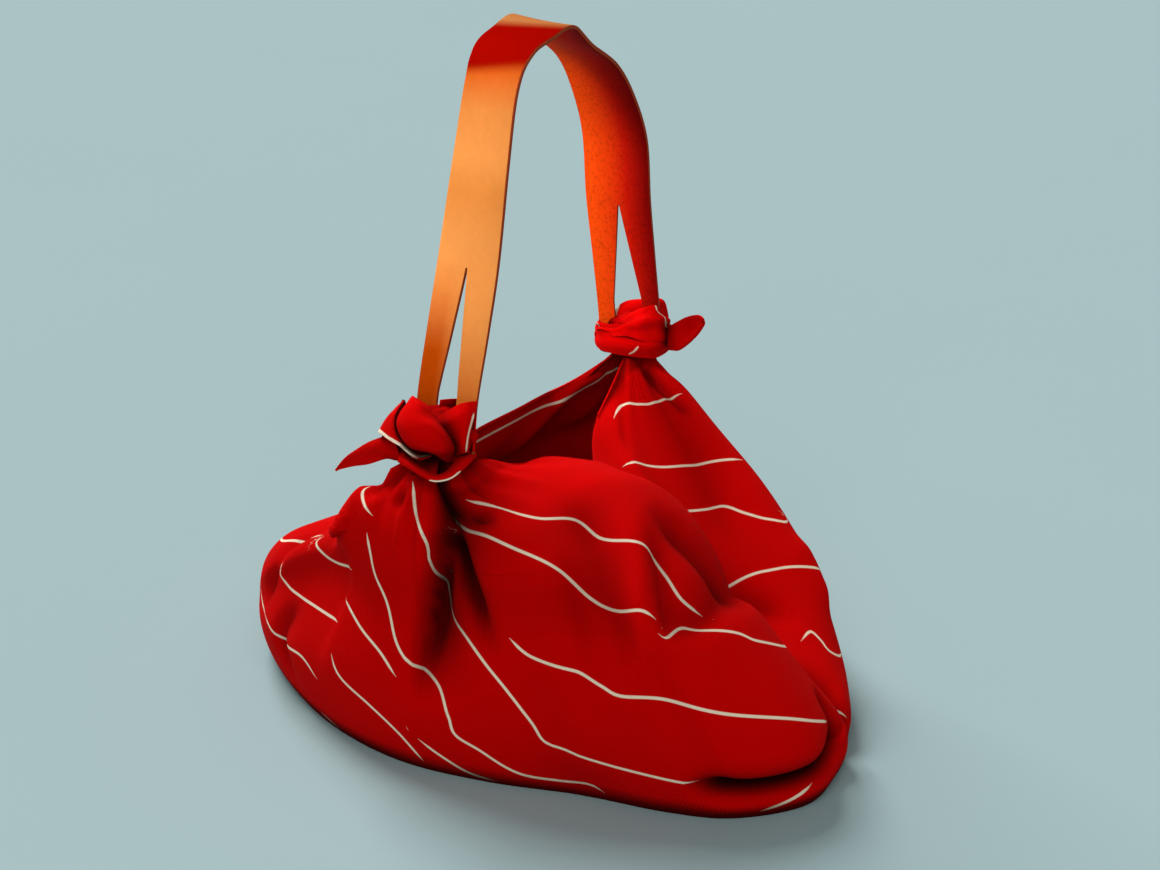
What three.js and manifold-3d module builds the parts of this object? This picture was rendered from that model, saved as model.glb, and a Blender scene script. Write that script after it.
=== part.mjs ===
// A furoshiki bag: one square wrapping cloth, its corners tied in two knots through the slots of a
// leather carrying strap. Millimetres, +Z up, the cloth standing on z = 0. X runs from the near knot to
// the far knot and -Y is the full front.
import * as THREE from 'three';
import * as BufferGeometryUtils from 'three/addons/utils/BufferGeometryUtils.js';
import Module from 'manifold-3d';

const wasm = await Module();
wasm.setup();

// Driving sizes of the bag
const HALF_WIDTH = 140;
const BAG_LENGTH = 390;
const NECK_HEIGHT = 168;
const CLOTH = 2.0;
const FOLD_DEPTH = 70;
const AROUND_PER_SECTION = 3;
const RINGS_UP = 27;

// Driving sizes of the strap
const STRAP_WIDTH = 45;
const STRAP_FOOT_WIDTH = 39;
const STRAP_THICKNESS = 2.2;
const HANDLE_RISE = 229;
const NEAR_SLOT_LENGTH = 94;
const FAR_SLOT_LENGTH = 87;
const SLOT_BRIDGE = 7;
const NEAR_SLOT_WIDTH = 13;
const FAR_SLOT_WIDTH = 18;
const SLOT_TIP_WIDTH = 0.8;
const STRAP_STEPS = 72;

// Driving sizes of the knots
const KNOT_SIZE = 20;
const KNOT_HEIGHT = 22;
const NEAR_KNOT_X = -0.75;
const FAR_KNOT_X = 0.75;
const GAP = 0.35;

// Sections of the cloth round the bag, from the back of the near end past the front to the back again.
// X is a share of HALF_WIDTH, Y of BAG_LENGTH and Z of NECK_HEIGHT. The foot lies on the floor, and
// bellyOut is how far the belly swells past the foot.
const SECTION_COLUMNS = [
  'footX', 'footY', 'bellyOut', 'bellyZ', 'middleX', 'middleY', 'middleZ',
  'shoulderX', 'shoulderY', 'shoulderZ', 'rimX', 'rimY', 'rimZ',
];
const SECTIONS = [
  [-0.41, 0.41, 1.04, 0.21, -0.60, 0.335, 0.465, -0.77, 0.125, 0.75, -0.74, 0.05, 0.97],
  [-0.66, 0.30, 1.08, 0.25, -0.77, 0.23, 0.55, -0.87, 0.11, 0.79, -0.83, 0.05, 1.01],
  [-0.86, 0.17, 1.08, 0.25, -0.91, 0.13, 0.58, -0.95, 0.115, 0.85, -0.90, 0.05, 1.03],
  [-0.96,  0.03, 1.08, 0.25, -1.01,  0.03, 0.58, -1.00,  0.02, 0.83, -0.93,  0.01, 1.04],
  [-0.93, -0.11, 1.08, 0.25, -0.99, -0.09, 0.58, -0.99, -0.05, 0.83, -0.92, -0.02, 1.04],
  [-0.84, -0.24, 1.08, 0.25, -0.94, -0.21, 0.58, -0.95, -0.11, 0.83, -0.87, -0.04, 1.03],
  [-0.79, -0.37, 1.08, 0.25, -0.87, -0.30, 0.60, -0.86, -0.16, 0.86, -0.77, -0.06, 1.00],
  [-0.70, -0.46, 1.06, 0.24, -0.73, -0.36, 0.62, -0.66, -0.20, 0.90, -0.59, -0.07, 1.01],
  [-0.47, -0.53, 1.03, 0.23, -0.47, -0.39, 0.64, -0.39, -0.23, 0.93, -0.36, -0.09, 0.99],
  [-0.20, -0.53, 1.00, 0.20, -0.19, -0.38, 0.58, -0.10, -0.25, 0.83, -0.06, -0.11, 0.90],
  [ 0.03, -0.51, 0.98, 0.17,  0.10, -0.33, 0.37,  0.20, -0.21, 0.60,  0.14, -0.06, 0.82],
  [ 0.24, -0.47, 1.00, 0.17,  0.33, -0.34, 0.42,  0.43, -0.19, 0.65,  0.34, -0.02, 0.88],
  [0.44, -0.42, 1.02, 0.19, 0.57, -0.33, 0.51, 0.66, -0.16, 0.80, 0.56, -0.01, 0.95],
  [0.69, -0.33, 1.05, 0.21, 0.75, -0.26, 0.57, 0.78, -0.13, 0.86, 0.70, -0.02, 1.01],
  [0.90, -0.22, 1.08, 0.25, 0.89, -0.14, 0.58, 0.87, -0.095, 0.855, 0.83, -0.02, 1.05],
  [ 0.97, -0.05, 1.08, 0.25,  0.96, -0.03, 0.58,  0.91,  0.00, 0.83,  0.85,  0.01, 1.06],
  [ 0.93,  0.12, 1.08, 0.25,  0.91,  0.09, 0.58,  0.87,  0.06, 0.83,  0.81,  0.03, 1.05],
  [0.80, 0.26, 1.08, 0.25, 0.80, 0.19, 0.58, 0.77, 0.09, 0.81, 0.72, 0.05, 1.00],
  [0.57, 0.36, 1.08, 0.25, 0.59, 0.28, 0.53, 0.60, 0.145, 0.73, 0.59, 0.105, 0.91],
  [0.29, 0.42, 1.07, 0.25, 0.29, 0.315, 0.53, 0.27, 0.15, 0.72, 0.27, 0.115, 0.90],
  [0.00, 0.45, 1.06, 0.25, -0.04, 0.33, 0.52, -0.10, 0.15, 0.71, -0.10, 0.115, 0.90],
  [-0.25, 0.43, 1.05, 0.21, -0.40, 0.37, 0.495, -0.50, 0.14, 0.72, -0.48, 0.09, 0.92],
];

// Folds laid on the cloth, each along a path of three points. A point is a section number, with a fraction
// between two sections, and a height share from the foot, 0, to the rim, 1. Height and the widths to the
// left and right of the path, seen from outside, are shares of FOLD_DEPTH. Fades say whether it starts
// and ends gently.
const FOLD_COLUMNS = [
  'startSection', 'startUp', 'midSection', 'midUp', 'endSection', 'endUp',
  'height', 'left', 'right', 'fadesIn', 'fadesOut',
];
const FOLDS = [
  [ 4.75, 0.96,  4.05, 0.65,  3.45, 0.30, -0.12, 0.29, 0.12, 0, 1],
  [ 5.00, 0.88,  4.78, 0.62,  4.40, 0.34, -0.08, 0.23, 0.12, 0, 1],
  [ 5.30, 0.55,  5.05, 0.30,  5.00, 0.05,  0.07, 0.43, 0.26, 1, 1],
  [ 7.35, 0.85,  6.65, 0.60,  5.65, 0.34, -0.08, 0.26, 0.20, 1, 1],
  [ 7.95, 0.78,  7.05, 0.57,  6.05, 0.38,  0.05, 0.17, 0.17, 1, 1],
  [ 7.90, 0.68,  7.35, 0.57,  6.80, 0.46, -0.07, 0.16, 0.12, 1, 1],
  [ 6.80, 0.49,  8.00, 0.50,  9.30, 0.52, -0.07, 0.20, 0.14, 1, 0],
  [ 6.40, 0.09,  7.50, 0.16,  8.80, 0.21, -0.11, 0.23, 0.12, 1, 0],
  [ 1.85, 0.90,  2.00, 0.56,  2.05, 0.20,  0.04, 0.37, 0.10, 0, 1],
  [ 0.95, 0.98,  0.35, 0.66, -0.10, 0.28,  0.06, 0.10, 0.43, 0, 1],
  [ 2.90, 0.95,  2.80, 0.70,  2.75, 0.45,  0.04, 0.20, 0.14, 0, 1],
  [12.80, 0.99, 10.90, 0.93,  9.90, 0.76,  0.06, 0.13, 0.12, 0, 1],
  [13.20, 0.95, 11.60, 0.78, 10.90, 0.60, -0.06, 0.20, 0.17, 0, 1],
  [10.10, 0.40, 10.00, 0.22,  9.90, 0.06, -0.08, 0.14, 0.14, 1, 0],
  [16.90, 0.98, 18.20, 0.88, 19.60, 0.70,  0.08, 0.16, 0.20, 0, 1],
  [15.90, 0.97, 16.60, 0.78, 17.20, 0.55, -0.08, 0.17, 0.14, 0, 1],
  [20.90, 0.97, 20.40, 0.78, 19.90, 0.52, -0.09, 0.17, 0.17, 0, 1],
  [18.60, 0.40, 18.40, 0.22, 18.30, 0.05,  0.07, 0.31, 0.26, 1, 1],
];

// Stations of the strap's middle line, from its hidden end in the near knot over the top to the far knot.
// X is a share of HALF_WIDTH, rise of HANDLE_RISE above the necks, and turn is in degrees about Z.
const STRAP_COLUMNS = ['x', 'rise', 'turn', 'width'];
const STRAP_STATIONS = [
  [-0.74, 0.06,   1, 0.0],
  [-0.71, 0.18,   2, 0.0],
  [-0.63, 0.33,   6, 0.4],
  [-0.54, 0.50,  11, 0.8],
  [-0.44, 0.73,  18, 1.0],
  [-0.36, 0.89,  21, 1.0],
  [-0.27, 0.96,  20, 1.0],
  [-0.13, 0.99,  16, 1.0],
  [ 0.03, 1.00,  15, 1.0],
  [ 0.19, 0.94,  14, 1.0],
  [ 0.375, 0.87, 11, 1.0],
  [ 0.50, 0.78,   7, 1.0],
  [ 0.605, 0.65,  2, 0.9],
  [ 0.64, 0.48,  -3, 0.6],
  [ 0.69, 0.32,  -9, 0.2],
  [ 0.74, 0.16, -13, 0.0],
  [ 0.76, 0.06, -14, 0.0],
];

// Wraps of cloth in the knots and the loose ends, each a swept band through its points. Points and half
// widths are shares of KNOT_SIZE from the knot's centre.
const BAND_COLUMNS = ['x', 'y', 'z', 'halfWidth', 'halfDepth'];
const NEAR_CENTRAL_BUNDLE = [
  [-0.10,  0.65,  1.00, 0.40, 0.35],
  [-0.75,  0.45,  0.85, 0.60, 0.45],
  [-1.10,  0.10,  0.25, 0.65, 0.45],
  [-1.00, -0.30, -0.45, 0.55, 0.40],
  [-0.50, -0.60, -0.85, 0.40, 0.35],
];
const NEAR_LOWER_WRAP = [
  [ 0.50,  1.45, -0.20, 0.50, 0.35],
  [-0.55,  1.50, -0.30, 0.60, 0.40],
  [-1.15,  0.60, -0.70, 0.60, 0.40],
  [-1.10, -0.50, -0.90, 0.50, 0.40],
  [-0.30, -1.20, -0.80, 0.50, 0.40],
  [ 0.60, -1.00, -0.60, 0.50, 0.35],
];
const NEAR_UPPER_WRAP = [
  [ 0.60,  0.90,  0.60, 0.45, 0.35],
  [-0.40,  1.40,  0.50, 0.60, 0.40],
  [-0.90,  1.05,  0.10, 0.60, 0.40],
  [-0.90,  0.30, -0.35, 0.50, 0.35],
];
const NEAR_SIDE_FLAP = [
  [ 0.40, -0.40,  0.85, 0.35, 0.30],
  [-0.20, -0.90,  0.75, 0.55, 0.35],
  [-0.35, -0.95,  0.05, 0.55, 0.35],
  [-0.20, -0.95, -0.70, 0.45, 0.35],
];
const NEAR_TAIL = [
  [-0.40, 1.55,  0.05, 0.42, 0.09],
  [-0.45, 2.50, -0.40, 0.46, 0.09],
  [-0.50, 3.10, -0.85, 0.34, 0.09],
  [-0.55, 3.75, -1.45, 0.12, 0.08],
];
const FAR_MAIN_WRAP = [
  [ 0.55,  0.95,  0.20, 0.60, 0.40],
  [-0.30,  1.10,  0.10, 0.75, 0.40],
  [-0.90,  0.35,  0.00, 0.80, 0.45],
  [-0.75, -0.60, -0.05, 0.75, 0.45],
  [-0.10, -1.10,  0.10, 0.65, 0.40],
  [ 0.60, -0.80,  0.30, 0.55, 0.35],
];
const FAR_BACK_LOBE = [
  [ 0.60,  0.60,  0.10, 0.50, 0.40],
  [ 0.45,  0.10,  0.75, 0.55, 0.40],
  [ 0.30, -0.60,  0.80, 0.50, 0.35],
  [ 0.10, -1.00,  0.20, 0.45, 0.35],
];
const FAR_TAIL = [
  [-0.05, -1.20, 0.10, 0.38, 0.10],
  [ 0.00, -1.95, 0.30, 0.46, 0.11],
  [ 0.05, -2.30, 0.48, 0.44, 0.11],
  [ 0.08, -2.55, 0.58, 0.22, 0.09],
];
const BAND_SIDES = 12;
const BAND_STEPS = 14;
const NEAR_CORE_RADII = [0.95, 1.40, 1.15];
const FAR_CORE_RADII = [0.80, 1.05, 1.10];

const cloth = new THREE.MeshStandardMaterial({ color: 0xc40a08, roughness: 0.85, metalness: 0 });
const knotCloth = new THREE.MeshStandardMaterial({ color: 0xb80806, roughness: 0.85, metalness: 0 });
const leather = new THREE.MeshStandardMaterial({ color: 0xc8762f, roughness: 0.55, metalness: 0 });

function named(columns, rows) {
  return rows.map((row) => Object.fromEntries(columns.map((name, i) => [name, row[i]])));
}

function smooth(x) {
  return THREE.MathUtils.smoothstep(x, 0, 1);
}

// A closed solid through rings of points, each end closed by a fan on its middle.
function loft(rings) {
  const count = rings[0].length;
  const points = rings.flat();
  const index = [];
  for (let i = 0; i < rings.length - 1; i += 1) {
    for (let j = 0; j < count; j += 1) {
      const a = i * count + j;
      const b = i * count + (j + 1) % count;
      index.push(a, b, b + count, a, b + count, a + count);
    }
  }
  for (const [ring, first, flip] of [[rings[0], 0, true], [rings.at(-1), (rings.length - 1) * count, false]]) {
    const middle = ring.reduce((sum, p) => sum.add(p), new THREE.Vector3()).divideScalar(count);
    points.push(middle);
    const hub = points.length - 1;
    for (let j = 0; j < count; j += 1) {
      const a = first + j;
      const b = first + (j + 1) % count;
      index.push(hub, flip ? b : a, flip ? a : b);
    }
  }
  const geometry = new THREE.BufferGeometry().setFromPoints(points);
  geometry.setIndex(index);
  return geometry;
}

function toSolid(geometry) {
  const bare = geometry.clone();
  bare.deleteAttribute('normal');
  bare.deleteAttribute('uv');
  const merged = BufferGeometryUtils.mergeVertices(bare, 1e-4);
  const vertProperties = new Float32Array(merged.attributes.position.array);
  const triVerts = new Uint32Array(merged.index.array);
  return new wasm.Manifold(new wasm.Mesh({ numProp: 3, vertProperties, triVerts }));
}

function toGeometry(solid) {
  const { vertProperties, triVerts } = solid.getMesh();
  const geometry = new THREE.BufferGeometry();
  geometry.setAttribute('position', new THREE.BufferAttribute(new Float32Array(vertProperties), 3));
  geometry.setIndex(new THREE.BufferAttribute(new Uint32Array(triVerts), 1));
  geometry.computeVertexNormals();
  return geometry;
}

function largest(solid) {
  return solid.decompose().reduce((best, piece) => (piece.volume() > best.volume() ? piece : best));
}

function join(solids) {
  return solids.reduce((whole, piece) => whole.add(piece));
}

// Cloth body: a skin through the sections, with the folds on it, and a wall made inwards from it
const sections = named(SECTION_COLUMNS, SECTIONS);
const folds = named(FOLD_COLUMNS, FOLDS);
const at = (x, y, z) => new THREE.Vector3(x * HALF_WIDTH, y * BAG_LENGTH, z * NECK_HEIGHT);
const FOOT_MIDDLE = new THREE.Vector3(0, -0.05 * BAG_LENGTH, 0);
const FOOT_INSET = 0.9;

function swelled(section, out, z) {
  const point = at(section.footX, section.footY, 0).sub(FOOT_MIDDLE).multiplyScalar(out).add(FOOT_MIDDLE);
  return point.setZ(z * NECK_HEIGHT);
}

const levels = [
  sections.map((s) => swelled(s, FOOT_INSET, 0)),
  sections.map((s) => at(s.footX, s.footY, 0)),
  sections.map((s) => swelled(s, s.bellyOut, s.bellyZ)),
  sections.map((s) => at(s.middleX, s.middleY, s.middleZ)),
  sections.map((s) => at(s.shoulderX, s.shoulderY, s.shoulderZ)),
  sections.map((s) => at(s.rimX, s.rimY, s.rimZ)),
].map((points) => new THREE.CatmullRomCurve3(points, true, 'catmullrom', 0.5));

// The line up the cloth at a turn of 0 to 1 round the bag; it has one point below the foot and one past
// the rim, so that it leaves both smoothly.
function lineUp(turn) {
  const points = levels.map((level) => level.getPoint(THREE.MathUtils.euclideanModulo(turn, 1)));
  points.push(points.at(-1).clone().multiplyScalar(2).sub(points.at(-2)));
  return new THREE.CatmullRomCurve3(points, false, 'catmullrom', 0.5);
}

function skinPoint(line, up) {
  const spans = line.points.length - 1;
  const point = line.getPoint((1 + up * (spans - 2)) / spans);
  return point.setZ(Math.max(point.z, 0));
}

function foldPath(fold) {
  const path = new THREE.QuadraticBezierCurve(
    new THREE.Vector2(fold.startSection, fold.startUp),
    new THREE.Vector2(
      2 * fold.midSection - (fold.startSection + fold.endSection) / 2,
      2 * fold.midUp - (fold.startUp + fold.endUp) / 2,
    ),
    new THREE.Vector2(fold.endSection, fold.endUp),
  );
  return path.getPoints(20).map((p) => skinPoint(lineUp(p.x / sections.length), p.y));
}

// How far a fold moves the cloth at a point: its height on the path, less with distance, and fading ends.
function foldHeight(fold, path, point, normal) {
  let nearest = { distance: Infinity };
  for (let i = 0; i < path.length - 1; i += 1) {
    const along = path[i + 1].clone().sub(path[i]);
    const share = THREE.MathUtils.clamp(point.clone().sub(path[i]).dot(along) / along.lengthSq(), 0, 1);
    const offset = point.clone().sub(path[i]).addScaledVector(along, -share);
    const distance = offset.length();
    if (distance < nearest.distance) {
      nearest = { distance, offset, along, share: (i + share) / (path.length - 1) };
    }
  }
  const onLeft = nearest.along.cross(nearest.offset).dot(normal) > 0;
  const width = (onLeft ? fold.left : fold.right) * FOLD_DEPTH;
  const start = fold.fadesIn ? smooth(nearest.share / 0.3) : 1;
  const end = fold.fadesOut ? smooth((1 - nearest.share) / 0.35) : 1;
  return fold.height * FOLD_DEPTH * start * end * Math.exp(-((nearest.distance / width) ** 1.6));
}

function normalsOf(rings) {
  const last = rings.length - 1;
  return rings.map((ring, i) => ring.map((point, j) => {
    const round = ring[(j + 1) % ring.length].clone().sub(ring.at(j - 1));
    const up = rings[Math.min(i + 1, last)][j].clone().sub(rings[Math.max(i - 1, 0)][j]);
    return round.cross(up).normalize();
  }));
}

const around = sections.length * AROUND_PER_SECTION;
const lines = Array.from({ length: around }, (unused, j) => lineUp(j / around));
const plainRings = Array.from({ length: RINGS_UP }, (unused, i) => (
  lines.map((line) => skinPoint(line, i / (RINGS_UP - 1)))
));
const plainNormals = normalsOf(plainRings);
const foldPaths = folds.map(foldPath);
const skinRings = plainRings.map((ring, i) => ring.map((point, j) => {
  const normal = plainNormals[i][j];
  const height = folds.reduce((sum, fold, k) => sum + foldHeight(fold, foldPaths[k], point, normal), 0);
  const free = smooth(i / (RINGS_UP - 1) / 0.1);
  const moved = point.clone().addScaledVector(normal, height * free);
  return moved.setZ(Math.max(moved.z, 0));
}));
const skinNormals = normalsOf(skinRings);

// The cloth's wall, grown on both faces and past the rim by a clearance when it is used as a cutter.
function bodyWall(grow) {
  const outside = skinRings.map((ring, i) => ring.map((p, j) => {
    const moved = p.clone().addScaledVector(skinNormals[i][j], grow);
    return moved.setZ(Math.max(moved.z, 0));
  }));
  const inside = skinRings.map((ring, i) => ring.map((p, j) => {
    const moved = p.clone().addScaledVector(skinNormals[i][j], -CLOTH - grow);
    return moved.setZ(Math.max(moved.z, CLOTH));
  }));
  if (grow > 0) {
    outside.at(-1).forEach((p) => p.setZ(p.z + grow));
    inside.at(-1).forEach((p) => p.setZ(p.z + grow));
  }
  return toSolid(loft([...outside, ...inside.reverse()]));
}

// Strap: a ribbon along its stations, with a slot through it at each end
const stations = named(STRAP_COLUMNS, STRAP_STATIONS);
const strapLine = new THREE.CatmullRomCurve3(
  stations.map((s) => new THREE.Vector3(s.x * HALF_WIDTH, 0, NECK_HEIGHT + s.rise * HANDLE_RISE)),
);
const strapLength = strapLine.getLength();

function stationValue(share, column) {
  const place = strapLine.getUtoTmapping(share) * (stations.length - 1);
  const i = Math.min(Math.floor(place), stations.length - 2);
  return THREE.MathUtils.lerp(stations[i][column], stations[i + 1][column], place - i);
}

function strapFrame(share) {
  const along = strapLine.getTangentAt(share);
  const turn = THREE.MathUtils.degToRad(stationValue(share, 'turn'));
  const across = new THREE.Vector3(Math.sin(turn), Math.cos(turn), 0);
  across.addScaledVector(along, -across.dot(along)).normalize();
  return { middle: strapLine.getPointAt(share), along, across, out: across.clone().cross(along) };
}

function ribbon(from, to, steps, halfWidth, halfThickness, longer = 0) {
  const rings = [];
  for (let i = 0; i <= steps; i += 1) {
    const share = THREE.MathUtils.lerp(from, to, i / steps);
    const { middle, along, across, out } = strapFrame(share);
    const end = (i === steps) - (i === 0);
    middle.addScaledVector(along, end * longer);
    const corners = [[1, 1], [1, -1], [-1, -1], [-1, 1]];
    rings.push(corners.map(([w, t]) => middle.clone()
      .addScaledVector(across, w * halfWidth(share)).addScaledVector(out, t * halfThickness)));
  }
  return toSolid(loft(rings));
}

function slot(fromEnd, length, width, grow) {
  const foot = SLOT_BRIDGE - grow;
  const tip = SLOT_BRIDGE + length;
  const straight = 0.25;
  const half = (share) => {
    const distance = Math.abs(share - fromEnd) * strapLength;
    const shareUp = (distance - foot) / (tip - foot);
    const closing = THREE.MathUtils.clamp((shareUp - straight) / (1 - straight), 0, 1);
    return THREE.MathUtils.lerp(width, SLOT_TIP_WIDTH, closing) / 2 + grow;
  };
  const sign = fromEnd === 0 ? 1 : -1;
  const ends = [fromEnd + (sign * foot) / strapLength, fromEnd + (sign * tip) / strapLength];
  return ribbon(Math.min(...ends), Math.max(...ends), 20, half, STRAP_THICKNESS);
}

function strap(grow) {
  const half = (share) => (
    THREE.MathUtils.lerp(STRAP_FOOT_WIDTH, STRAP_WIDTH, stationValue(share, 'width')) / 2 + grow
  );
  const whole = ribbon(0, 1, STRAP_STEPS, half, STRAP_THICKNESS / 2 + grow, grow);
  return whole
    .subtract(slot(0, NEAR_SLOT_LENGTH, NEAR_SLOT_WIDTH, -grow))
    .subtract(slot(1, FAR_SLOT_LENGTH, FAR_SLOT_WIDTH, -grow));
}

// Knots and loose ends
function band(rows, centre, grow) {
  const points = named(BAND_COLUMNS, rows);
  const curve = new THREE.CatmullRomCurve3(
    points.map((p) => new THREE.Vector3(p.x, p.y, p.z).multiplyScalar(KNOT_SIZE).add(centre)),
  );
  const sizes = new THREE.CatmullRomCurve3(
    points.map((p) => new THREE.Vector3(p.halfWidth, p.halfDepth, 0).multiplyScalar(KNOT_SIZE)),
  );
  const rings = [];
  for (let i = 0; i <= BAND_STEPS; i += 1) {
    const share = i / BAND_STEPS;
    const along = curve.getTangent(share);
    const middle = curve.getPoint(share);
    const size = sizes.getPoint(share);
    const radial = middle.clone().sub(centre);
    const deep = radial.addScaledVector(along, -radial.dot(along)).normalize();
    const wide = along.clone().cross(deep);
    const ring = [];
    for (let j = 0; j < BAND_SIDES; j += 1) {
      const angle = (j / BAND_SIDES) * 2 * Math.PI;
      ring.push(middle.clone()
        .addScaledVector(deep, Math.cos(angle) * (size.y + grow))
        .addScaledVector(wide, Math.sin(angle) * (size.x + grow)));
    }
    rings.push(ring);
  }
  return toSolid(loft(rings));
}

function core(radii, centre, grow) {
  const ball = new THREE.SphereGeometry(1, 20, 14);
  ball.scale(...radii.map((r) => r * KNOT_SIZE + grow));
  ball.translate(centre.x, centre.y, centre.z);
  return toSolid(ball);
}

const nearKnotCentre = new THREE.Vector3(NEAR_KNOT_X * HALF_WIDTH, 0, NECK_HEIGHT + KNOT_HEIGHT);
const farKnotCentre = new THREE.Vector3(FAR_KNOT_X * HALF_WIDTH, 0, NECK_HEIGHT + KNOT_HEIGHT);

function knot(radii, wraps, centre, grow) {
  return join([core(radii, centre, grow), ...wraps.map((rows) => band(rows, centre, grow))]);
}

const NEAR_WRAPS = [NEAR_CENTRAL_BUNDLE, NEAR_LOWER_WRAP, NEAR_UPPER_WRAP, NEAR_SIDE_FLAP];
const FAR_WRAPS = [FAR_MAIN_WRAP, FAR_BACK_LOBE];

// The plain wall is cut away too, for the grown wall's flats can lie inside it at a sharp crease.
const bodyCutter = bodyWall(GAP).add(bodyWall(0));
const strapCutter = strap(GAP);

function piece(name, solid, material) {
  const mesh = new THREE.Mesh(toGeometry(solid), material);
  mesh.name = name;
  return mesh;
}

const nearKnot = largest(knot(NEAR_CORE_RADII, NEAR_WRAPS, nearKnotCentre, 0)
  .subtract(bodyCutter).subtract(strapCutter));
const farKnot = largest(knot(FAR_CORE_RADII, FAR_WRAPS, farKnotCentre, 0)
  .subtract(bodyCutter).subtract(strapCutter));
const nearTail = largest(band(NEAR_TAIL, nearKnotCentre, 0)
  .subtract(knot(NEAR_CORE_RADII, NEAR_WRAPS, nearKnotCentre, GAP)).subtract(bodyCutter));
const farTail = largest(band(FAR_TAIL, farKnotCentre, 0)
  .subtract(knot(FAR_CORE_RADII, FAR_WRAPS, farKnotCentre, GAP)).subtract(strapCutter));

const bag = new THREE.Group();
bag.add(piece('cloth_body', bodyWall(0), cloth));
bag.add(piece('leather_handle', strap(0), leather));
bag.add(piece('near_knot', nearKnot, knotCloth));
bag.add(piece('near_tail', nearTail, knotCloth));
bag.add(piece('far_knot', farKnot, knotCloth));
bag.add(piece('far_tail', farTail, knotCloth));

export default bag;
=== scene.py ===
"""A furoshiki bag: one striped square of cloth, knotted at both ends onto a slotted leather strap.

Every length is in metres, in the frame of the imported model: X runs from the near knot to the far one, -Y is
the full front and Z is up.
"""

import logging
import math
from dataclasses import dataclass, field
from enum import Enum

import bpy
import numpy as np
from mathutils import Matrix, Vector, noise
from mathutils.kdtree import KDTree


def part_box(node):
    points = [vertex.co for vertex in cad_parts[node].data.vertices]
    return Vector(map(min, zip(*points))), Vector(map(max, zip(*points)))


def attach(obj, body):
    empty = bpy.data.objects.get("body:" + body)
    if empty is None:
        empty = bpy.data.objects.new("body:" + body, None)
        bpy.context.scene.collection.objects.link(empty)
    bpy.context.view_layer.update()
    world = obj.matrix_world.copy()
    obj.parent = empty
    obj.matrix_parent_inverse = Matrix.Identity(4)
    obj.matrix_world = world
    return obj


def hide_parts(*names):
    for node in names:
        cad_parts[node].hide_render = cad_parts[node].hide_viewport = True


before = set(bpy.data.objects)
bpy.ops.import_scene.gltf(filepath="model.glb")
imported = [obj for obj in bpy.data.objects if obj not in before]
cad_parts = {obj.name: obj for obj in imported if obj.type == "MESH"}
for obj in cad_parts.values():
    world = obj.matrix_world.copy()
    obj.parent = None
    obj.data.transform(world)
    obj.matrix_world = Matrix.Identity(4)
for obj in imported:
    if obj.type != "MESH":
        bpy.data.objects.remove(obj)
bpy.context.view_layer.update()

LOG = logging.getLogger("furoshiki_bag")
MILLIMETRE = 0.001
Rows = tuple[tuple[float, ...], ...]
Colour = tuple[float, float, float]
Stops = tuple[tuple[float, Colour], ...]
Places = tuple[tuple[float, float], ...]
Section = tuple[tuple[float, float, float], ...]


class Slot(Enum):
    """The record's material slots."""

    CLOTH = "striped_cloth"
    LEATHER = "tan_leather"


class End(Enum):
    """The two knots, by the place of their end of the strap along X."""

    NEAR = -1
    FAR = 1


# How far the stripes on a knot taper, show fully and reach, in metres
TAPER_ON_KNOT = 0.002
FULL_ON_KNOT = 0.002
GONE_ON_KNOT = 0.004

# The bag's half width, length and neck height, as shares of the CAD cloth's box
HALF_WIDTH_SHARE = 0.4791
LENGTH_SHARE = 0.9647
NECK_SHARE = 0.9449
# The knots: their size and their place along X as shares of the half width, their rise in knot sizes
KNOT_SHARE = 0.1429
KNOT_PLACE = 0.75
KNOT_RISE = 1.1

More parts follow.
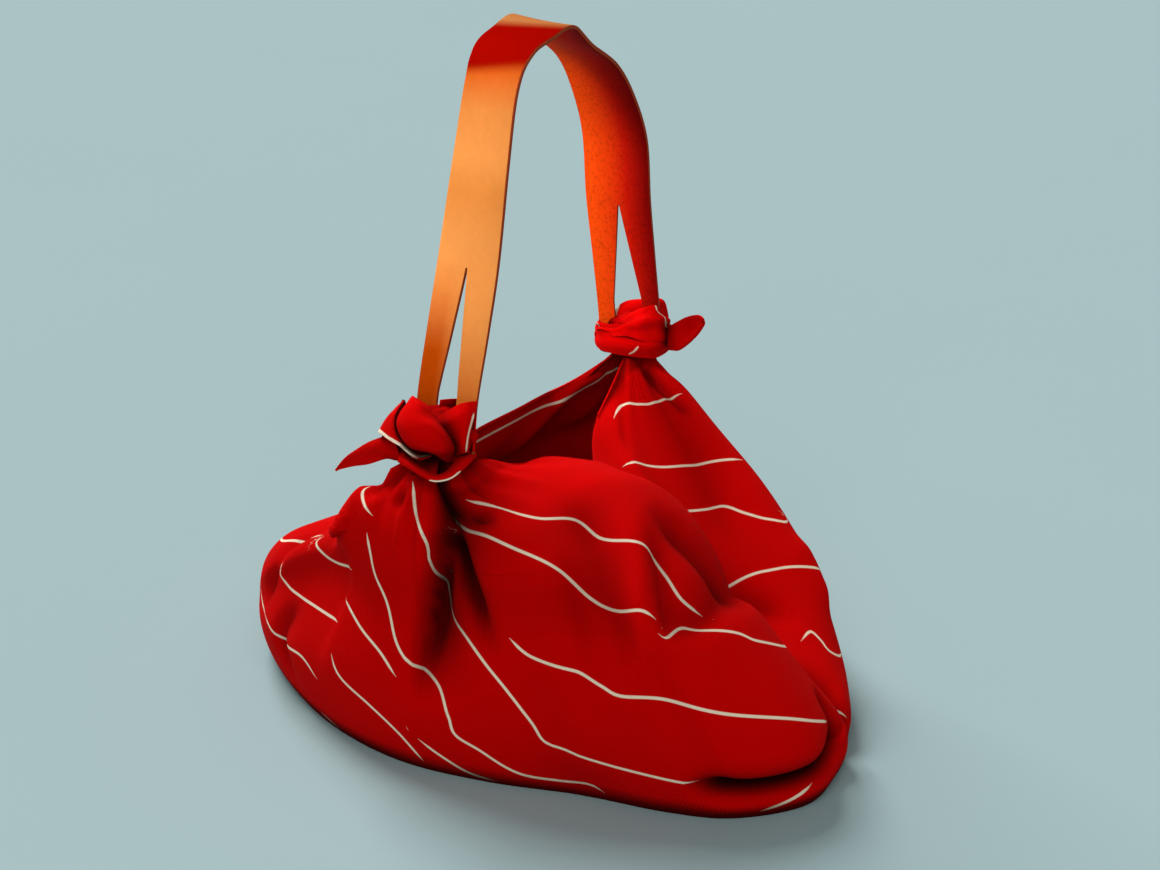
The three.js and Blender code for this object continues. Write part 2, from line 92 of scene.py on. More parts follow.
# Sections of the cloth, as shares: foot x y | belly out z | middle x y z | shoulder x y z | rim x y z
SECTIONS: Rows = (
    (-0.41, 0.41, 1.04, 0.21, -0.60, 0.335, 0.465, -0.77, 0.125, 0.75, -0.74, 0.05, 0.97),
    (-0.66, 0.30, 1.08, 0.25, -0.77, 0.23, 0.55, -0.87, 0.11, 0.79, -0.83, 0.05, 1.01),
    (-0.86, 0.17, 1.08, 0.25, -0.91, 0.13, 0.58, -0.95, 0.115, 0.85, -0.90, 0.05, 1.03),
    (-0.96, 0.03, 1.08, 0.25, -1.01, 0.03, 0.58, -1.00, 0.02, 0.83, -0.93, 0.01, 1.04),
    (-0.93, -0.11, 1.08, 0.25, -0.99, -0.09, 0.58, -0.99, -0.05, 0.83, -0.92, -0.02, 1.04),
    (-0.84, -0.24, 1.08, 0.25, -0.94, -0.21, 0.58, -0.95, -0.11, 0.83, -0.87, -0.04, 1.03),
    (-0.79, -0.37, 1.08, 0.25, -0.87, -0.30, 0.60, -0.86, -0.16, 0.86, -0.77, -0.06, 1.00),
    (-0.70, -0.46, 1.06, 0.24, -0.73, -0.36, 0.62, -0.66, -0.20, 0.90, -0.59, -0.07, 1.01),
    (-0.47, -0.53, 1.03, 0.23, -0.47, -0.39, 0.64, -0.39, -0.23, 0.93, -0.36, -0.09, 0.99),
    (-0.20, -0.53, 1.00, 0.20, -0.19, -0.38, 0.58, -0.10, -0.25, 0.83, -0.06, -0.11, 0.90),
    (0.03, -0.51, 0.98, 0.17, 0.10, -0.33, 0.37, 0.20, -0.21, 0.60, 0.14, -0.06, 0.82),
    (0.24, -0.47, 1.00, 0.17, 0.33, -0.34, 0.42, 0.43, -0.19, 0.65, 0.34, -0.02, 0.88),
    (0.44, -0.42, 1.02, 0.19, 0.57, -0.33, 0.51, 0.66, -0.16, 0.80, 0.56, -0.01, 0.95),
    (0.69, -0.33, 1.05, 0.21, 0.75, -0.26, 0.57, 0.78, -0.13, 0.86, 0.70, -0.02, 1.01),
    (0.90, -0.22, 1.08, 0.25, 0.89, -0.14, 0.58, 0.87, -0.095, 0.855, 0.83, -0.02, 1.05),
    (0.97, -0.05, 1.08, 0.25, 0.96, -0.03, 0.58, 0.91, 0.00, 0.83, 0.85, 0.01, 1.06),
    (0.93, 0.12, 1.08, 0.25, 0.91, 0.09, 0.58, 0.87, 0.06, 0.83, 0.81, 0.03, 1.05),
    (0.80, 0.26, 1.08, 0.25, 0.80, 0.19, 0.58, 0.77, 0.09, 0.81, 0.72, 0.05, 1.00),
    (0.57, 0.36, 1.08, 0.25, 0.59, 0.28, 0.53, 0.60, 0.145, 0.73, 0.59, 0.105, 0.91),
    (0.29, 0.42, 1.07, 0.25, 0.29, 0.315, 0.53, 0.27, 0.15, 0.72, 0.27, 0.115, 0.90),
    (0.00, 0.45, 1.06, 0.25, -0.04, 0.33, 0.52, -0.10, 0.15, 0.71, -0.10, 0.115, 0.90),
    (-0.25, 0.43, 1.05, 0.21, -0.40, 0.37, 0.495, -0.50, 0.14, 0.72, -0.48, 0.09, 0.92),
)

# Folds: start, middle and end as section and share up | height | width left, right (mm) | fades in, out
FOLDS: Rows = (
    (4.50, 0.98, 3.62, 0.60, 3.36, 0.24, -21.0, 18.0, 4.0, 0, 1),
    (4.02, 0.82, 4.06, 0.64, 4.24, 0.40, -14.0, 7.0, 6.0, 1, 1),
    (21.6, 0.66, 22.3, 0.50, 22.7, 0.25, -4.0, 4.0, 5.0, 1, 1),
    (6.60, 0.72, 5.50, 0.50, 4.95, 0.28, -4.0, 12.0, 9.0, 1, 1),
    (7.60, 0.66, 6.50, 0.50, 5.95, 0.32, 3.5, 9.0, 7.0, 1, 1),
    (7.95, 0.72, 8.45, 0.58, 8.75, 0.46, -9.0, 12.0, 12.0, 1, 1),
    (8.97, 0.33, 9.10, 0.26, 9.25, 0.18, -13.0, 3.5, 4.0, 1, 1),
    (13.30, 0.96, 12.95, 0.85, 12.35, 0.78, -4.0, 4.0, 6.0, 0, 1),
    (9.30, 0.68, 10.2, 0.56, 10.9, 0.40, -6.0, 9.0, 11.0, 1, 1),
    (5.05, 0.99, 5.45, 0.92, 6.00, 0.84, -8.0, 5.0, 11.0, 0, 1),
    (3.05, 0.99, 2.95, 0.92, 2.80, 0.84, -4.0, 5.0, 4.0, 0, 1),
    (2.50, 0.99, 2.35, 0.92, 2.15, 0.84, -4.0, 4.0, 5.0, 0, 1),
    (4.20, 0.90, 3.85, 0.65, 3.74, 0.45, 4.0, 4.0, 4.0, 0, 1),
    (5.30, 0.55, 5.05, 0.30, 5.00, 0.05, 6.0, 30.0, 18.0, 1, 1),
    (7.35, 0.85, 6.65, 0.60, 5.65, 0.34, -7.0, 18.0, 14.0, 1, 1),
    (7.95, 0.78, 7.05, 0.57, 6.05, 0.38, 4.0, 12.0, 12.0, 1, 1),
    (7.90, 0.68, 7.35, 0.57, 6.80, 0.46, -6.0, 10.0, 6.0, 1, 1),
    (6.80, 0.49, 8.00, 0.50, 9.30, 0.52, -6.0, 14.0, 8.0, 1, 0),
    (6.05, 0.17, 7.20, 0.12, 8.95, 0.19, -18.0, 10.0, 5.0, 1, 0),
    (2.12, 0.68, 2.14, 0.45, 2.05, 0.20, 2.5, 24.0, 3.0, 1, 1),
    (1.95, 0.94, 1.50, 0.80, 1.10, 0.66, 6.0, 14.0, 16.0, 1, 1),
    (1.15, 0.84, 0.55, 0.64, -0.10, 0.28, 8.0, 9.0, 28.0, 1, 1),
    (1.40, 0.40, 1.20, 0.25, 1.50, 0.08, -5.0, 9.0, 6.0, 1, 1),
    (2.90, 0.95, 2.80, 0.70, 2.75, 0.45, 3.0, 14.0, 10.0, 0, 1),
    (12.8, 0.99, 10.9, 0.93, 9.90, 0.76, 5.0, 9.0, 8.0, 0, 1),
    (13.2, 0.95, 11.6, 0.78, 10.9, 0.60, -5.0, 14.0, 12.0, 0, 1),
    (12.2, 0.52, 12.1, 0.42, 11.9, 0.34, 4.0, 6.0, 8.0, 1, 1),
    (10.1, 0.40, 10.0, 0.22, 9.90, 0.06, -8.0, 8.0, 8.0, 1, 0),
    (12.2, 0.99, 11.4, 0.95, 10.5, 0.91, -4.0, 5.0, 9.0, 0, 1),
    (17.3, 0.97, 18.3, 0.84, 19.2, 0.62, -6.0, 7.0, 10.0, 0, 1),
    (15.9, 0.97, 16.6, 0.78, 17.2, 0.55, -6.0, 12.0, 10.0, 0, 1),
    (14.7, 0.96, 14.9, 0.75, 15.1, 0.50, 5.0, 10.0, 10.0, 0, 1),
    (20.9, 0.97, 20.4, 0.78, 19.9, 0.52, -7.0, 12.0, 12.0, 0, 1),
    (21.6, 0.96, 21.4, 0.74, 21.2, 0.48, 4.0, 10.0, 10.0, 0, 1),
    (18.6, 0.40, 18.4, 0.22, 18.3, 0.05, 5.0, 22.0, 18.0, 1, 1),
)

# Stripes on the bag: the stripe's number, then its places as section and share up
STRIPES: tuple[tuple[int, Places], ...] = (
    (-2, ((11.4, 0.97), (11.64, 0.97), (11.82, 0.96), (12.17, 0.91), (12.79, 0.87), (13.29, 0.83))),
    (-1, ((10.45, 0.93), (10.66, 0.91), (11.31, 0.81), (11.9, 0.71), (12.47, 0.65))),
    (0, ((10.2, 0.82), (10.8, 0.75), (11.25, 0.70), (11.46, 0.64), (11.70, 0.59), (12.1, 0.54),
         (12.5, 0.51))),
    (1, ((5.7, 0.975), (5.95, 0.93), (6.15, 0.89), (6.54, 0.80), (7.05, 0.76), (7.15, 0.70), (7.39, 0.66),
         (7.57, 0.63), (7.57, 0.59), (7.54, 0.54), (7.72, 0.50))),
    (1, ((9.6, 0.60), (10.51, 0.58), (11.28, 0.52), (11.98, 0.44), (12.2, 0.41))),
    (2, ((4.22, 0.87), (5.18, 0.82), (5.78, 0.74), (6.13, 0.67), (6.22, 0.60), (6.39, 0.57), (6.76, 0.55),
         (6.91, 0.525))),
    (2, ((6.79, 0.50), (6.88, 0.49), (7.27, 0.50), (7.52, 0.48), (7.98, 0.45), (8.22, 0.43), (8.79, 0.405),
         (9.3, 0.40))),
    (2, ((10.6, 0.395), (10.94, 0.39), (11.04, 0.36), (11.07, 0.33), (11.38, 0.29), (11.8, 0.26))),
    (3, ((4.50, 0.49), (4.69, 0.45), (5.17, 0.43), (5.46, 0.40), (5.65, 0.38), (6.14, 0.38), (6.69, 0.36),
         (7.46, 0.33), (8.76, 0.27))),
    (3, ((9.95, 0.27), (10.13, 0.23), (10.25, 0.17))),
    (4, ((3.10, 0.98), (3.20, 0.95), (3.35, 0.87), (3.62, 0.77), (3.60, 0.69), (3.58, 0.61), (3.62, 0.54),
         (3.70, 0.49), (3.95, 0.45), (4.27, 0.37), (4.52, 0.28), (4.64, 0.22), (4.91, 0.21), (5.40, 0.18),
         (6.03, 0.165), (6.25, 0.165))),
    (4, ((7.29, 0.04), (7.64, 0.07), (8.05, 0.105))),
    (5, ((1.90, 0.90), (2.05, 0.87), (2.26, 0.84), (2.57, 0.80))),
    (5, ((2.54, 0.74), (2.68, 0.63), (2.91, 0.53), (3.09, 0.42), (3.31, 0.36), (3.57, 0.32), (3.66, 0.25),
         (3.71, 0.19), (3.95, 0.15), (4.36, 0.08), (4.78, 0.07), (5.10, 0.08), (5.27, 0.05))),
    (6, ((0.45, 0.64), (0.60, 0.61), (1.13, 0.575), (1.67, 0.56), (2.18, 0.57))),
    (6, ((2.08, 0.47), (2.52, 0.42), (2.89, 0.38), (3.12, 0.33))),
    (6, ((3.30, 0.15), (3.51, 0.10), (3.81, 0.04), (4.10, 0.02))),
    (7, ((0.42, 0.51), (0.57, 0.45), (0.90, 0.41), (1.19, 0.40), (1.63, 0.40), (2.11, 0.40))),
    (7, ((2.21, 0.32), (2.38, 0.27), (2.78, 0.22), (3.09, 0.15), (3.3, 0.05))),
    (8, ((0.10, 0.36), (0.40, 0.31), (0.73, 0.27))),
    (8, ((0.73, 0.27), (1.20, 0.23), (1.70, 0.25), (1.98, 0.21))),
    (8, ((1.79, 0.06), (2.1, 0.02))),
    (4, ((14.6, 0.90), (16.0, 0.93), (18.0, 0.93), (20.0, 0.93), (21.3, 0.93), (22.2, 0.93))),
    (5, ((12.5, 0.51), (14.0, 0.56), (16.0, 0.45), (18.0, 0.42), (20.0, 0.42), (21.4, 0.52), (22.2, 0.64))),
    (6, ((12.2, 0.18), (14.0, 0.20), (16.0, 0.20), (18.0, 0.20), (20.0, 0.20), (22.1, 0.36))),
)


@dataclass(frozen=True)
class BagSizes:
    """The sizes that the pieces share, in metres."""

    half_width: float
    length: float
    neck_height: float

    @classmethod
    def from_frame(cls) -> "BagSizes":
        """The sizes of the CAD cloth."""
        low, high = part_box("cloth_body")
        return cls(
            HALF_WIDTH_SHARE * (high.x - low.x),
            LENGTH_SHARE * (high.y - low.y),
            NECK_SHARE * (high.z - low.z),
        )

    def knot_size(self) -> float:
        """The length that the knots' shares are taken of."""
        return KNOT_SHARE * self.half_width

    def knot_centre(self, end: End) -> tuple[float, float, float]:
        """The middle of one knot."""
        return end.value * KNOT_PLACE * self.half_width, 0.0, self.neck_height + KNOT_RISE * self.knot_size()


def smooth(x: np.ndarray) -> np.ndarray:
    """The smooth step from 0 to 1."""
    x = np.clip(x, 0.0, 1.0)
    return x * x * (3.0 - 2.0 * x)


def blend(corners: list[np.ndarray], w: np.ndarray) -> np.ndarray:
    """The Catmull-Rom blend of four neighbours, at shares w from the second to the third."""
    a, b, c, d = corners
    return 0.5 * (
        2 * b + (c - a) * w + (2 * a - 5 * b + 4 * c - d) * w**2 + (3 * b - a - 3 * c + d) * w**3
    )


def catmull(points: np.ndarray, place: np.ndarray, closed: bool = False) -> np.ndarray:
    """Points of a uniform Catmull-Rom curve.

    Args:
        points: The curve's own points, one a row.
        place: Where to look, from 0 to 1 along the curve.
        closed: Whether the curve runs round.

    Returns:
        One point for each place.
    """
    count = len(points)
    if closed:
        x = np.mod(place, 1.0) * count
        first = np.floor(x).astype(int)
        nearby = [(first + k) % count for k in (-1, 0, 1, 2)]
    else:
        x = np.clip(place, 0.0, 1.0) * (count - 1)
        first = np.minimum(np.floor(x).astype(int), count - 2)
        nearby = [np.clip(first + k, 0, count - 1) for k in (-1, 0, 1, 2)]
    return blend([points[i] for i in nearby], (x - first)[:, None])


def unit(vectors: np.ndarray) -> np.ndarray:
    """Vectors of length one along the last axis."""
    return vectors / np.maximum(np.linalg.norm(vectors, axis=-1, keepdims=True), 1e-12)


def grid_normals(points: np.ndarray) -> np.ndarray:
    """Outward normals of a grid that closes along its second axis."""
    round_it = np.roll(points, -1, 1) - np.roll(points, 1, 1)
    return unit(np.cross(round_it, np.gradient(points, axis=0)))


def grid_faces(rows: int, columns: int, closed: bool = False) -> list[tuple[int, ...]]:
    """The faces of a grid of points, one row after another.

    Args:
        rows: The number of rows.
        columns: The points in a row.
        closed: Whether each row runs round.

    Returns:
        The corners of each face.
    """
    faces = []
    for i in range(rows - 1):
        for j in range(columns if closed else columns - 1):
            k = (j + 1) % columns
            faces.append((i * columns + j, i * columns + k, (i + 1) * columns + k, (i + 1) * columns + j))
    return faces


def flat_places(grid: np.ndarray) -> np.ndarray:
    """Places of a grid's points on the flat cloth, measured along its rows and its columns."""
    down = np.linalg.norm(np.diff(grid, axis=0), axis=2)
    over = np.linalg.norm(np.diff(grid, axis=1), axis=2)
    along = np.concatenate([np.zeros((1, grid.shape[1])), np.cumsum(down, 0)])
    across = np.concatenate([np.zeros((grid.shape[0], 1)), np.cumsum(over, 1)], 1)
    return np.stack([across, along], 2).reshape(-1, 2)


@dataclass(frozen=True)
class Stroke:
    """A stretch of one stripe that lies on a piece of cloth.

    Neighbouring stripes have an odd and an even number, which keeps the sides between two of them alike.
    """

    number: int
    path: np.ndarray

    def even(self, step: float = 0.0012) -> np.ndarray:
        """The path at even steps along it."""
        steps = np.linalg.norm(np.diff(self.path, axis=0), axis=1)
        along = np.concatenate([[0.0], np.cumsum(steps)])
        places = np.linspace(0.0, along[-1], max(int(along[-1] / step), 8))
        return np.column_stack([np.interp(places, along, self.path[:, axis]) for axis in range(3)])


@dataclass(frozen=True)
class StripePainter:
    """Keeps, at each point of a cloth, the side and nearness of the closest stripe."""

    strokes: tuple[Stroke, ...]
    tapered: float = 0.007
    full_within: float = 0.004
    gone_beyond: float = 0.008
    nowhere: float = 0.02

    @staticmethod
    def from_ends(path: np.ndarray) -> np.ndarray:
        """The distance of each point of an even path from the nearer end."""
        count = np.arange(len(path))
        return np.minimum(count, count[::-1]) * np.linalg.norm(path[1] - path[0])

    def paint(self, points: np.ndarray, normals: np.ndarray) -> dict[str, np.ndarray]:
        """Measures every point against the strokes.

        Args:
            points: The cloth's points.
            normals: Its outward normals.

        Returns:
            The signed distance to a stripe, and how fully that stripe shows.
        """
        paths = [stroke.even() for stroke in self.strokes]
        if not paths:
            return {"stripe_side": np.full(len(points), self.nowhere), "stripe_shown": np.zeros(len(points))}
        samples = np.concatenate(paths)
        tangents = unit(np.concatenate([np.gradient(path, axis=0) for path in paths]))
        signs = np.concatenate([np.full(len(p), (-1.0) ** s.number) for p, s in zip(paths, self.strokes)])
        ends = np.concatenate([self.from_ends(path) for path in paths])
        tree = KDTree(len(samples))
        for i, sample in enumerate(samples):
            tree.insert(sample, i)
        tree.balance()
        found = np.array([tree.find(point)[1] for point in points.tolist()])
        offset = points - samples[found]
        tangent = tangents[found]
        along = (offset * tangent).sum(1)
        across = np.linalg.norm(offset - along[:, None] * tangent, axis=1)
        left = np.sign((np.cross(tangent, offset) * normals).sum(1))
        fade = (self.gone_beyond - across) / (self.gone_beyond - self.full_within)
        shown = np.clip(ends[found] / self.tapered, 0.0, 1.0) * np.clip(fade, 0.0, 1.0)
        return {
            "stripe_side": np.clip(left * signs[found] * across, -self.nowhere, self.nowhere),
            "stripe_shown": shown,
        }


def select_none() -> None:
    """Deselects everything."""
    bpy.ops.object.select_all(action="DESELECT")


def select_only(piece: bpy.types.Object) -> None:
    """Makes one object the only one selected, and active."""
    select_none()
    piece.select_set(True)
    bpy.context.view_layer.objects.active = piece


def add_modifier(piece: bpy.types.Object, kind: str, **settings: object) -> None:
    """Adds a modifier to a piece and applies it.

    Args:
        piece: The object to change.
        kind: The modifier's type, as Blender names it.
        **settings: The modifier's own values.
    """
    select_only(piece)
    bpy.ops.object.modifier_add(type=kind)
    modifier = piece.modifiers[-1]
    for name, value in settings.items():
        setattr(modifier, name, value)
    bpy.ops.object.modifier_apply(modifier=modifier.name)


def round_edges(piece: bpy.types.Object, width: float) -> None:
    """Rounds a piece's sharp edges."""
    add_modifier(piece, "BEVEL", width=width, segments=2, limit_method="ANGLE", angle_limit=1.0)


def keep_numbers(mesh: bpy.types.Mesh, numbers: dict[str, np.ndarray]) -> None:
    """Keeps named values at the points of a mesh."""
    for key, values in numbers.items():
        attribute = mesh.attributes.new(key, "FLOAT", "POINT")
        attribute.data.foreach_set("value", values.astype(np.float32).ravel())


def mesh_piece(
    name: str,
    points: np.ndarray,
    faces: list[tuple[int, ...]],
    uv: np.ndarray,
    numbers: dict[str, np.ndarray],
) -> bpy.types.Object:
    """A smooth-shaded object from points and faces.

    Args:
        name: The piece's name.
        points: One point a row.
        faces: The corners of each face.
        uv: A place on the cloth for each point, in metres.
        numbers: Named values to keep at each point.

    Returns:
        The new object.
    """
    mesh = bpy.data.meshes.new(name)
    mesh.from_pydata(points.tolist(), [], faces)
    corners = np.empty(len(mesh.loops), int)
    mesh.loops.foreach_get("vertex_index", corners)
    mesh.uv_layers.new(name="cloth").data.foreach_set("uv", uv[corners].astype(np.float32).ravel())
    keep_numbers(mesh, numbers)
    mesh.shade_smooth()
    piece = bpy.data.objects.new(name, mesh)
    bpy.context.scene.collection.objects.link(piece)
    return piece


class NodeTree:
    """A short way to write a material's nodes."""

    def __init__(self, name: str) -> None:
        """Starts a material with one shader and its output."""
        self.material = bpy.data.materials.new(name)
        self.material.use_nodes = True
        self.nodes = self.material.node_tree.nodes
        self.links = self.material.node_tree.links
        self.nodes.clear()
        self.shader = self.nodes.new("ShaderNodeBsdfPrincipled")
        output = self.nodes.new("ShaderNodeOutputMaterial")
        self.links.new(self.shader.outputs["BSDF"], output.inputs["Surface"])

    def add(
        self, kind: str, inputs: dict[object, object] | None = None, **settings: object
    ) -> bpy.types.Node:
        """Adds a node.

        Args:
            kind: The node's type, without its ShaderNode prefix.
            inputs: Values or sockets for its inputs, by name or number.
            **settings: The node's own settings.

        Returns:
            The new node.
        """
        node = self.nodes.new("ShaderNode" + kind)
        for key, value in settings.items():
            setattr(node, key, value)
        for key, value in (inputs or {}).items():
            if isinstance(value, bpy.types.NodeSocket):
                self.links.new(value, node.inputs[key])
            else:
                node.inputs[key].default_value = value
        return node

    def math(self, operation: str, *values: object) -> bpy.types.NodeSocket:
        """The result of a Math node on up to three numbers or sockets."""
        return self.add("Math", dict(enumerate(values)), operation=operation).outputs[0]

    def attribute(self, name: str) -> bpy.types.NodeSocket:
        """A number kept at the mesh's points."""
        return self.add("Attribute", attribute_name=name).outputs["Fac"]

    def share(self, value: bpy.types.NodeSocket, start: float, end: float) -> bpy.types.NodeSocket:
        """How far a value is on its way from start to end, from 0 to 1."""
        return self.add("MapRange", {"Value": value, "From Min": start, "From Max": end}).outputs["Result"]

    def noise(self, vector: bpy.types.NodeSocket, scale: float, detail: float = 2.0) -> bpy.types.NodeSocket:
        """Smooth noise from 0 to 1."""
        return self.add("TexNoise", {"Vector": vector, "Scale": scale, "Detail": detail}).outputs["Fac"]

    def ramp(self, value: bpy.types.NodeSocket, stops: Stops) -> bpy.types.NodeSocket:
        """A colour that follows a value.

        Args:
            value: The value, from 0 to 1.
            stops: Places and their colours, lowest first.

        Returns:
            The colour's socket.
        """
        node = self.add("ValToRGB", {"Fac": value})
        elements = node.color_ramp.elements
        while len(elements) < len(stops):
            elements.new(1.0)
        for element, (place, colour) in zip(elements, stops):
            element.position = place
            element.color = (*colour, 1.0)
        return node.outputs["Color"]

    def mix(self, factor: object, a: object, b: object, blend: str = "MIX") -> bpy.types.NodeSocket:
        """Two colours mixed by a factor."""
        node = self.add("Mix", {"Factor": factor}, data_type="RGBA", blend_type=blend)
        for name, value in (("A", a), ("B", b)):
            socket = next(s for s in node.inputs if s.name == name and s.type == "RGBA")
            if isinstance(value, bpy.types.NodeSocket):
                self.links.new(value, socket)
            else:
                socket.default_value = (*value, 1.0)
        return next(s for s in node.outputs if s.type == "RGBA")

    def shaded(self, colour: bpy.types.NodeSocket, share: bpy.types.NodeSocket) -> bpy.types.NodeSocket:
        """A colour darkened to a share of itself."""
        grey = self.add("CombineColor", {0: share, 1: share, 2: share}).outputs[0]
        return self.mix(1.0, colour, grey, "MULTIPLY")

    def bump(self, height: bpy.types.NodeSocket, distance: float, strength: float = 1.0) -> None:
        """Lays a relief on the shader."""
        node = self.add("Bump", {"Height": height, "Distance": distance, "Strength": strength})
        self.links.new(node.outputs["Normal"], self.shader.inputs["Normal"])

    def set(self, **values: object) -> None:
        """Sets the shader's inputs, whose spaces are written as underscores."""
        for key, value in values.items():
            socket = self.shader.inputs[key.replace("_", " ")]
            if isinstance(value, bpy.types.NodeSocket):
                self.links.new(value, socket)
            else:
                socket.default_value = value


@dataclass(frozen=True)
class StripedCotton:
    """Red plain-woven cotton with thin cream stripes."""

    red: Colour = (0.70, 0.0, 0.0)
    deep_red: Colour = (0.62, 0.0, 0.0)
    cream: Colour = (1.0, 0.84, 0.62)
    stripe_half_width: float = 0.00085
    stripe_edge: float = 0.00022
    thread_pitch: float = 0.00062
    thread_height: float = 0.00012
    thread_tone_and_shade: float = 0.08
    least_half_width: float = 0.00005
    # Painted shade: how far the deepest fold valleys darken the cloth's colour
    hollow_darkening: float = 0.65
    crease_reach: float = 0.012
    crease_gain: float = 1.7
    crease_darkest: float = 0.08
    slub_scale: float = 900.0
    slub_detail: float = 3.0
    slub_share: float = 0.5
    cloud_scale: float = 14.0
    thread_base: float = 0.90
    roughness: float = 0.9
    specular: float = 0.02
    sheen: float = 0.06
    sheen_roughness: float = 0.5
    sheen_tint: Colour = (1.0, 0.05, 0.04)

    def weave(self, tree: NodeTree, cloth: bpy.types.NodeSocket) -> bpy.types.NodeSocket:
        """The height of the plain weave's threads, from 0 to 1.

        Args:
            tree: The material's nodes.
            cloth: Places on the flat cloth.

        Returns:
            The height's socket.
        """
        flat = tree.add("SeparateXYZ", {0: cloth}).outputs
        turns = [tree.math("MULTIPLY", flat[axis], math.pi / self.thread_pitch) for axis in ("X", "Y")]
        waves = [tree.math("SINE", turn) for turn in turns]
        warp, weft = (tree.math("ABSOLUTE", wave) for wave in waves)
        over = tree.math("GREATER_THAN", tree.math("MULTIPLY", *waves), 0.0)
        return tree.math("MULTIPLY_ADD", tree.math("SUBTRACT", warp, weft), over, weft)

    def striped(self, tree: NodeTree) -> bpy.types.NodeSocket:
        """How much of a point is stripe, from 0 to 1."""
        side = tree.math("ABSOLUTE", tree.attribute("stripe_side"))
        half = tree.math("MULTIPLY", tree.attribute("stripe_shown"), self.stripe_half_width)
        inside = tree.math("MULTIPLY_ADD", tree.math("SUBTRACT", half, side), 0.5 / self.stripe_edge, 0.5)
        share = tree.math("MINIMUM", tree.math("MAXIMUM", inside, 0.0), 1.0)
        return tree.math("MULTIPLY", share, tree.math("GREATER_THAN", half, self.least_half_width))

    def creased(self, tree: NodeTree) -> bpy.types.NodeSocket:
        """How much light is left in hollows and creases, as a share."""
        # Painted shade from the depth of the fold valleys
        hollow = tree.math("MULTIPLY_ADD", tree.attribute("hollow"), -self.hollow_darkening, 1.0)
        # Painted shade in creases: ambient occlusion multiplied into the colour
        open_share = tree.add("AmbientOcclusion", {"Distance": self.crease_reach}, samples=8).outputs["AO"]
        crease = tree.math("MULTIPLY_ADD", open_share, self.crease_gain, 1.0 - self.crease_gain)
        return tree.math("MULTIPLY", hollow, tree.math("MAXIMUM", crease, self.crease_darkest))

    def material(self) -> bpy.types.Material:
        """The finished material."""
        tree = NodeTree("striped_cotton")
        place = tree.add("TexCoord")
        weave = self.weave(tree, place.outputs["UV"])
        slub = tree.noise(place.outputs["Object"], self.slub_scale, self.slub_detail)
        cloud = tree.noise(place.outputs["Object"], self.cloud_scale)
        colour = tree.mix(self.striped(tree), tree.mix(cloud, self.deep_red, self.red), self.cream)
        # Random tone of the threads, from the slub noise
        threads = tree.math("MULTIPLY_ADD", slub, self.thread_tone_and_shade, self.thread_base)
        # Painted shade between the threads: the colour is darker where the weave lies low
        shade = tree.math("MULTIPLY_ADD", weave, self.thread_tone_and_shade, threads)
        colour = tree.shaded(colour, tree.math("MULTIPLY", shade, self.creased(tree)))
        tree.set(
            Base_Color=colour,
            Roughness=self.roughness,
            Specular_IOR_Level=self.specular,
            Sheen_Weight=self.sheen,
            Sheen_Roughness=self.sheen_roughness,
            Sheen_Tint=(*self.sheen_tint, 1.0),
        )
        tree.bump(tree.math("MULTIPLY_ADD", slub, self.slub_share, weave), self.thread_height)
        return tree.material


@dataclass(frozen=True)
class TanLeather:
    """Smooth vegetable-tanned leather that runs from tan to deep red along the strap; the deep red is painted
    shade.
    """

    grain_size: float = 0.0011
    grain_height: float = 0.00006
    outer_stops_with_painted_shade: Stops = (
        (0.00, (0.62, 0.11, 0.004)),
        (0.13, (0.74, 0.25, 0.055)),
        (0.22, (0.60, 0.21, 0.048)),
        (0.27, (0.50, 0.16, 0.030)),
        (0.31, (0.55, 0.19, 0.043)),
        (0.355, (0.50, 0.16, 0.033)),
        (0.395, (0.42, 0.07, 0.007)),
        # Painted shade: the deep red band below the strap's top
        (0.407, (0.20, 0.001, 0.0)),
        (0.475, (0.21, 0.001, 0.0)),
        (0.492, (0.34, 0.12, 0.035)),
        (0.56, (0.42, 0.13, 0.030)),
        (0.62, (0.55, 0.02, 0.004)),
        (1.00, (0.50, 0.01, 0.004)),
    )
    tongue: Colour = (0.46, 0.055, 0.001)
    tongue_top: float = 0.20
    tongue_foot: float = 0.10
    tongue_sides: tuple[float, float] = (-0.3, 0.5)
    mottle_depth: float = 0.16
    cloud_depth: float = 0.22
    darkest: float = 0.82
    mottle_scale: float = 220.0
    mottle_detail: float = 4.0
    mottle_relief: float = 0.6
    relief_strength: float = 0.8
    cloud_scale: float = 25.0
    roughness: float = 0.6
    specular: float = 0.0

    def material(self) -> bpy.types.Material:
        """The finished material of the outer face."""
        tree = NodeTree("tan_leather")
        place = tree.add("TexCoord").outputs["Object"]
        along = tree.attribute("along")
        # Painted shade: the ramp paints the strap deep red where it lies in shade
        colour = tree.ramp(along, self.outer_stops_with_painted_shade)
        low = tree.share(along, self.tongue_top, self.tongue_foot)
        left = tree.share(tree.attribute("across"), *self.tongue_sides)
        colour = tree.mix(tree.math("MULTIPLY", low, left), colour, self.tongue)
        mottle = tree.noise(place, self.mottle_scale, self.mottle_detail)
        cloud = tree.noise(place, self.cloud_scale)
        clouded = tree.math("MULTIPLY_ADD", cloud, self.cloud_depth, self.darkest)
        shade = tree.math("MULTIPLY_ADD", mottle, self.mottle_depth, clouded)
        colour = tree.shaded(colour, shade)
        grain = tree.add("TexVoronoi", {"Vector": place, "Scale": 1.0 / self.grain_size}, feature="F1")
        pores = grain.outputs["Distance"]
        tree.set(Base_Color=colour, Roughness=self.roughness, Specular_IOR_Level=self.specular)
        relief = tree.math("MULTIPLY_ADD", mottle, self.mottle_relief, pores)
        tree.bump(relief, self.grain_height, self.relief_strength)
        return tree.material


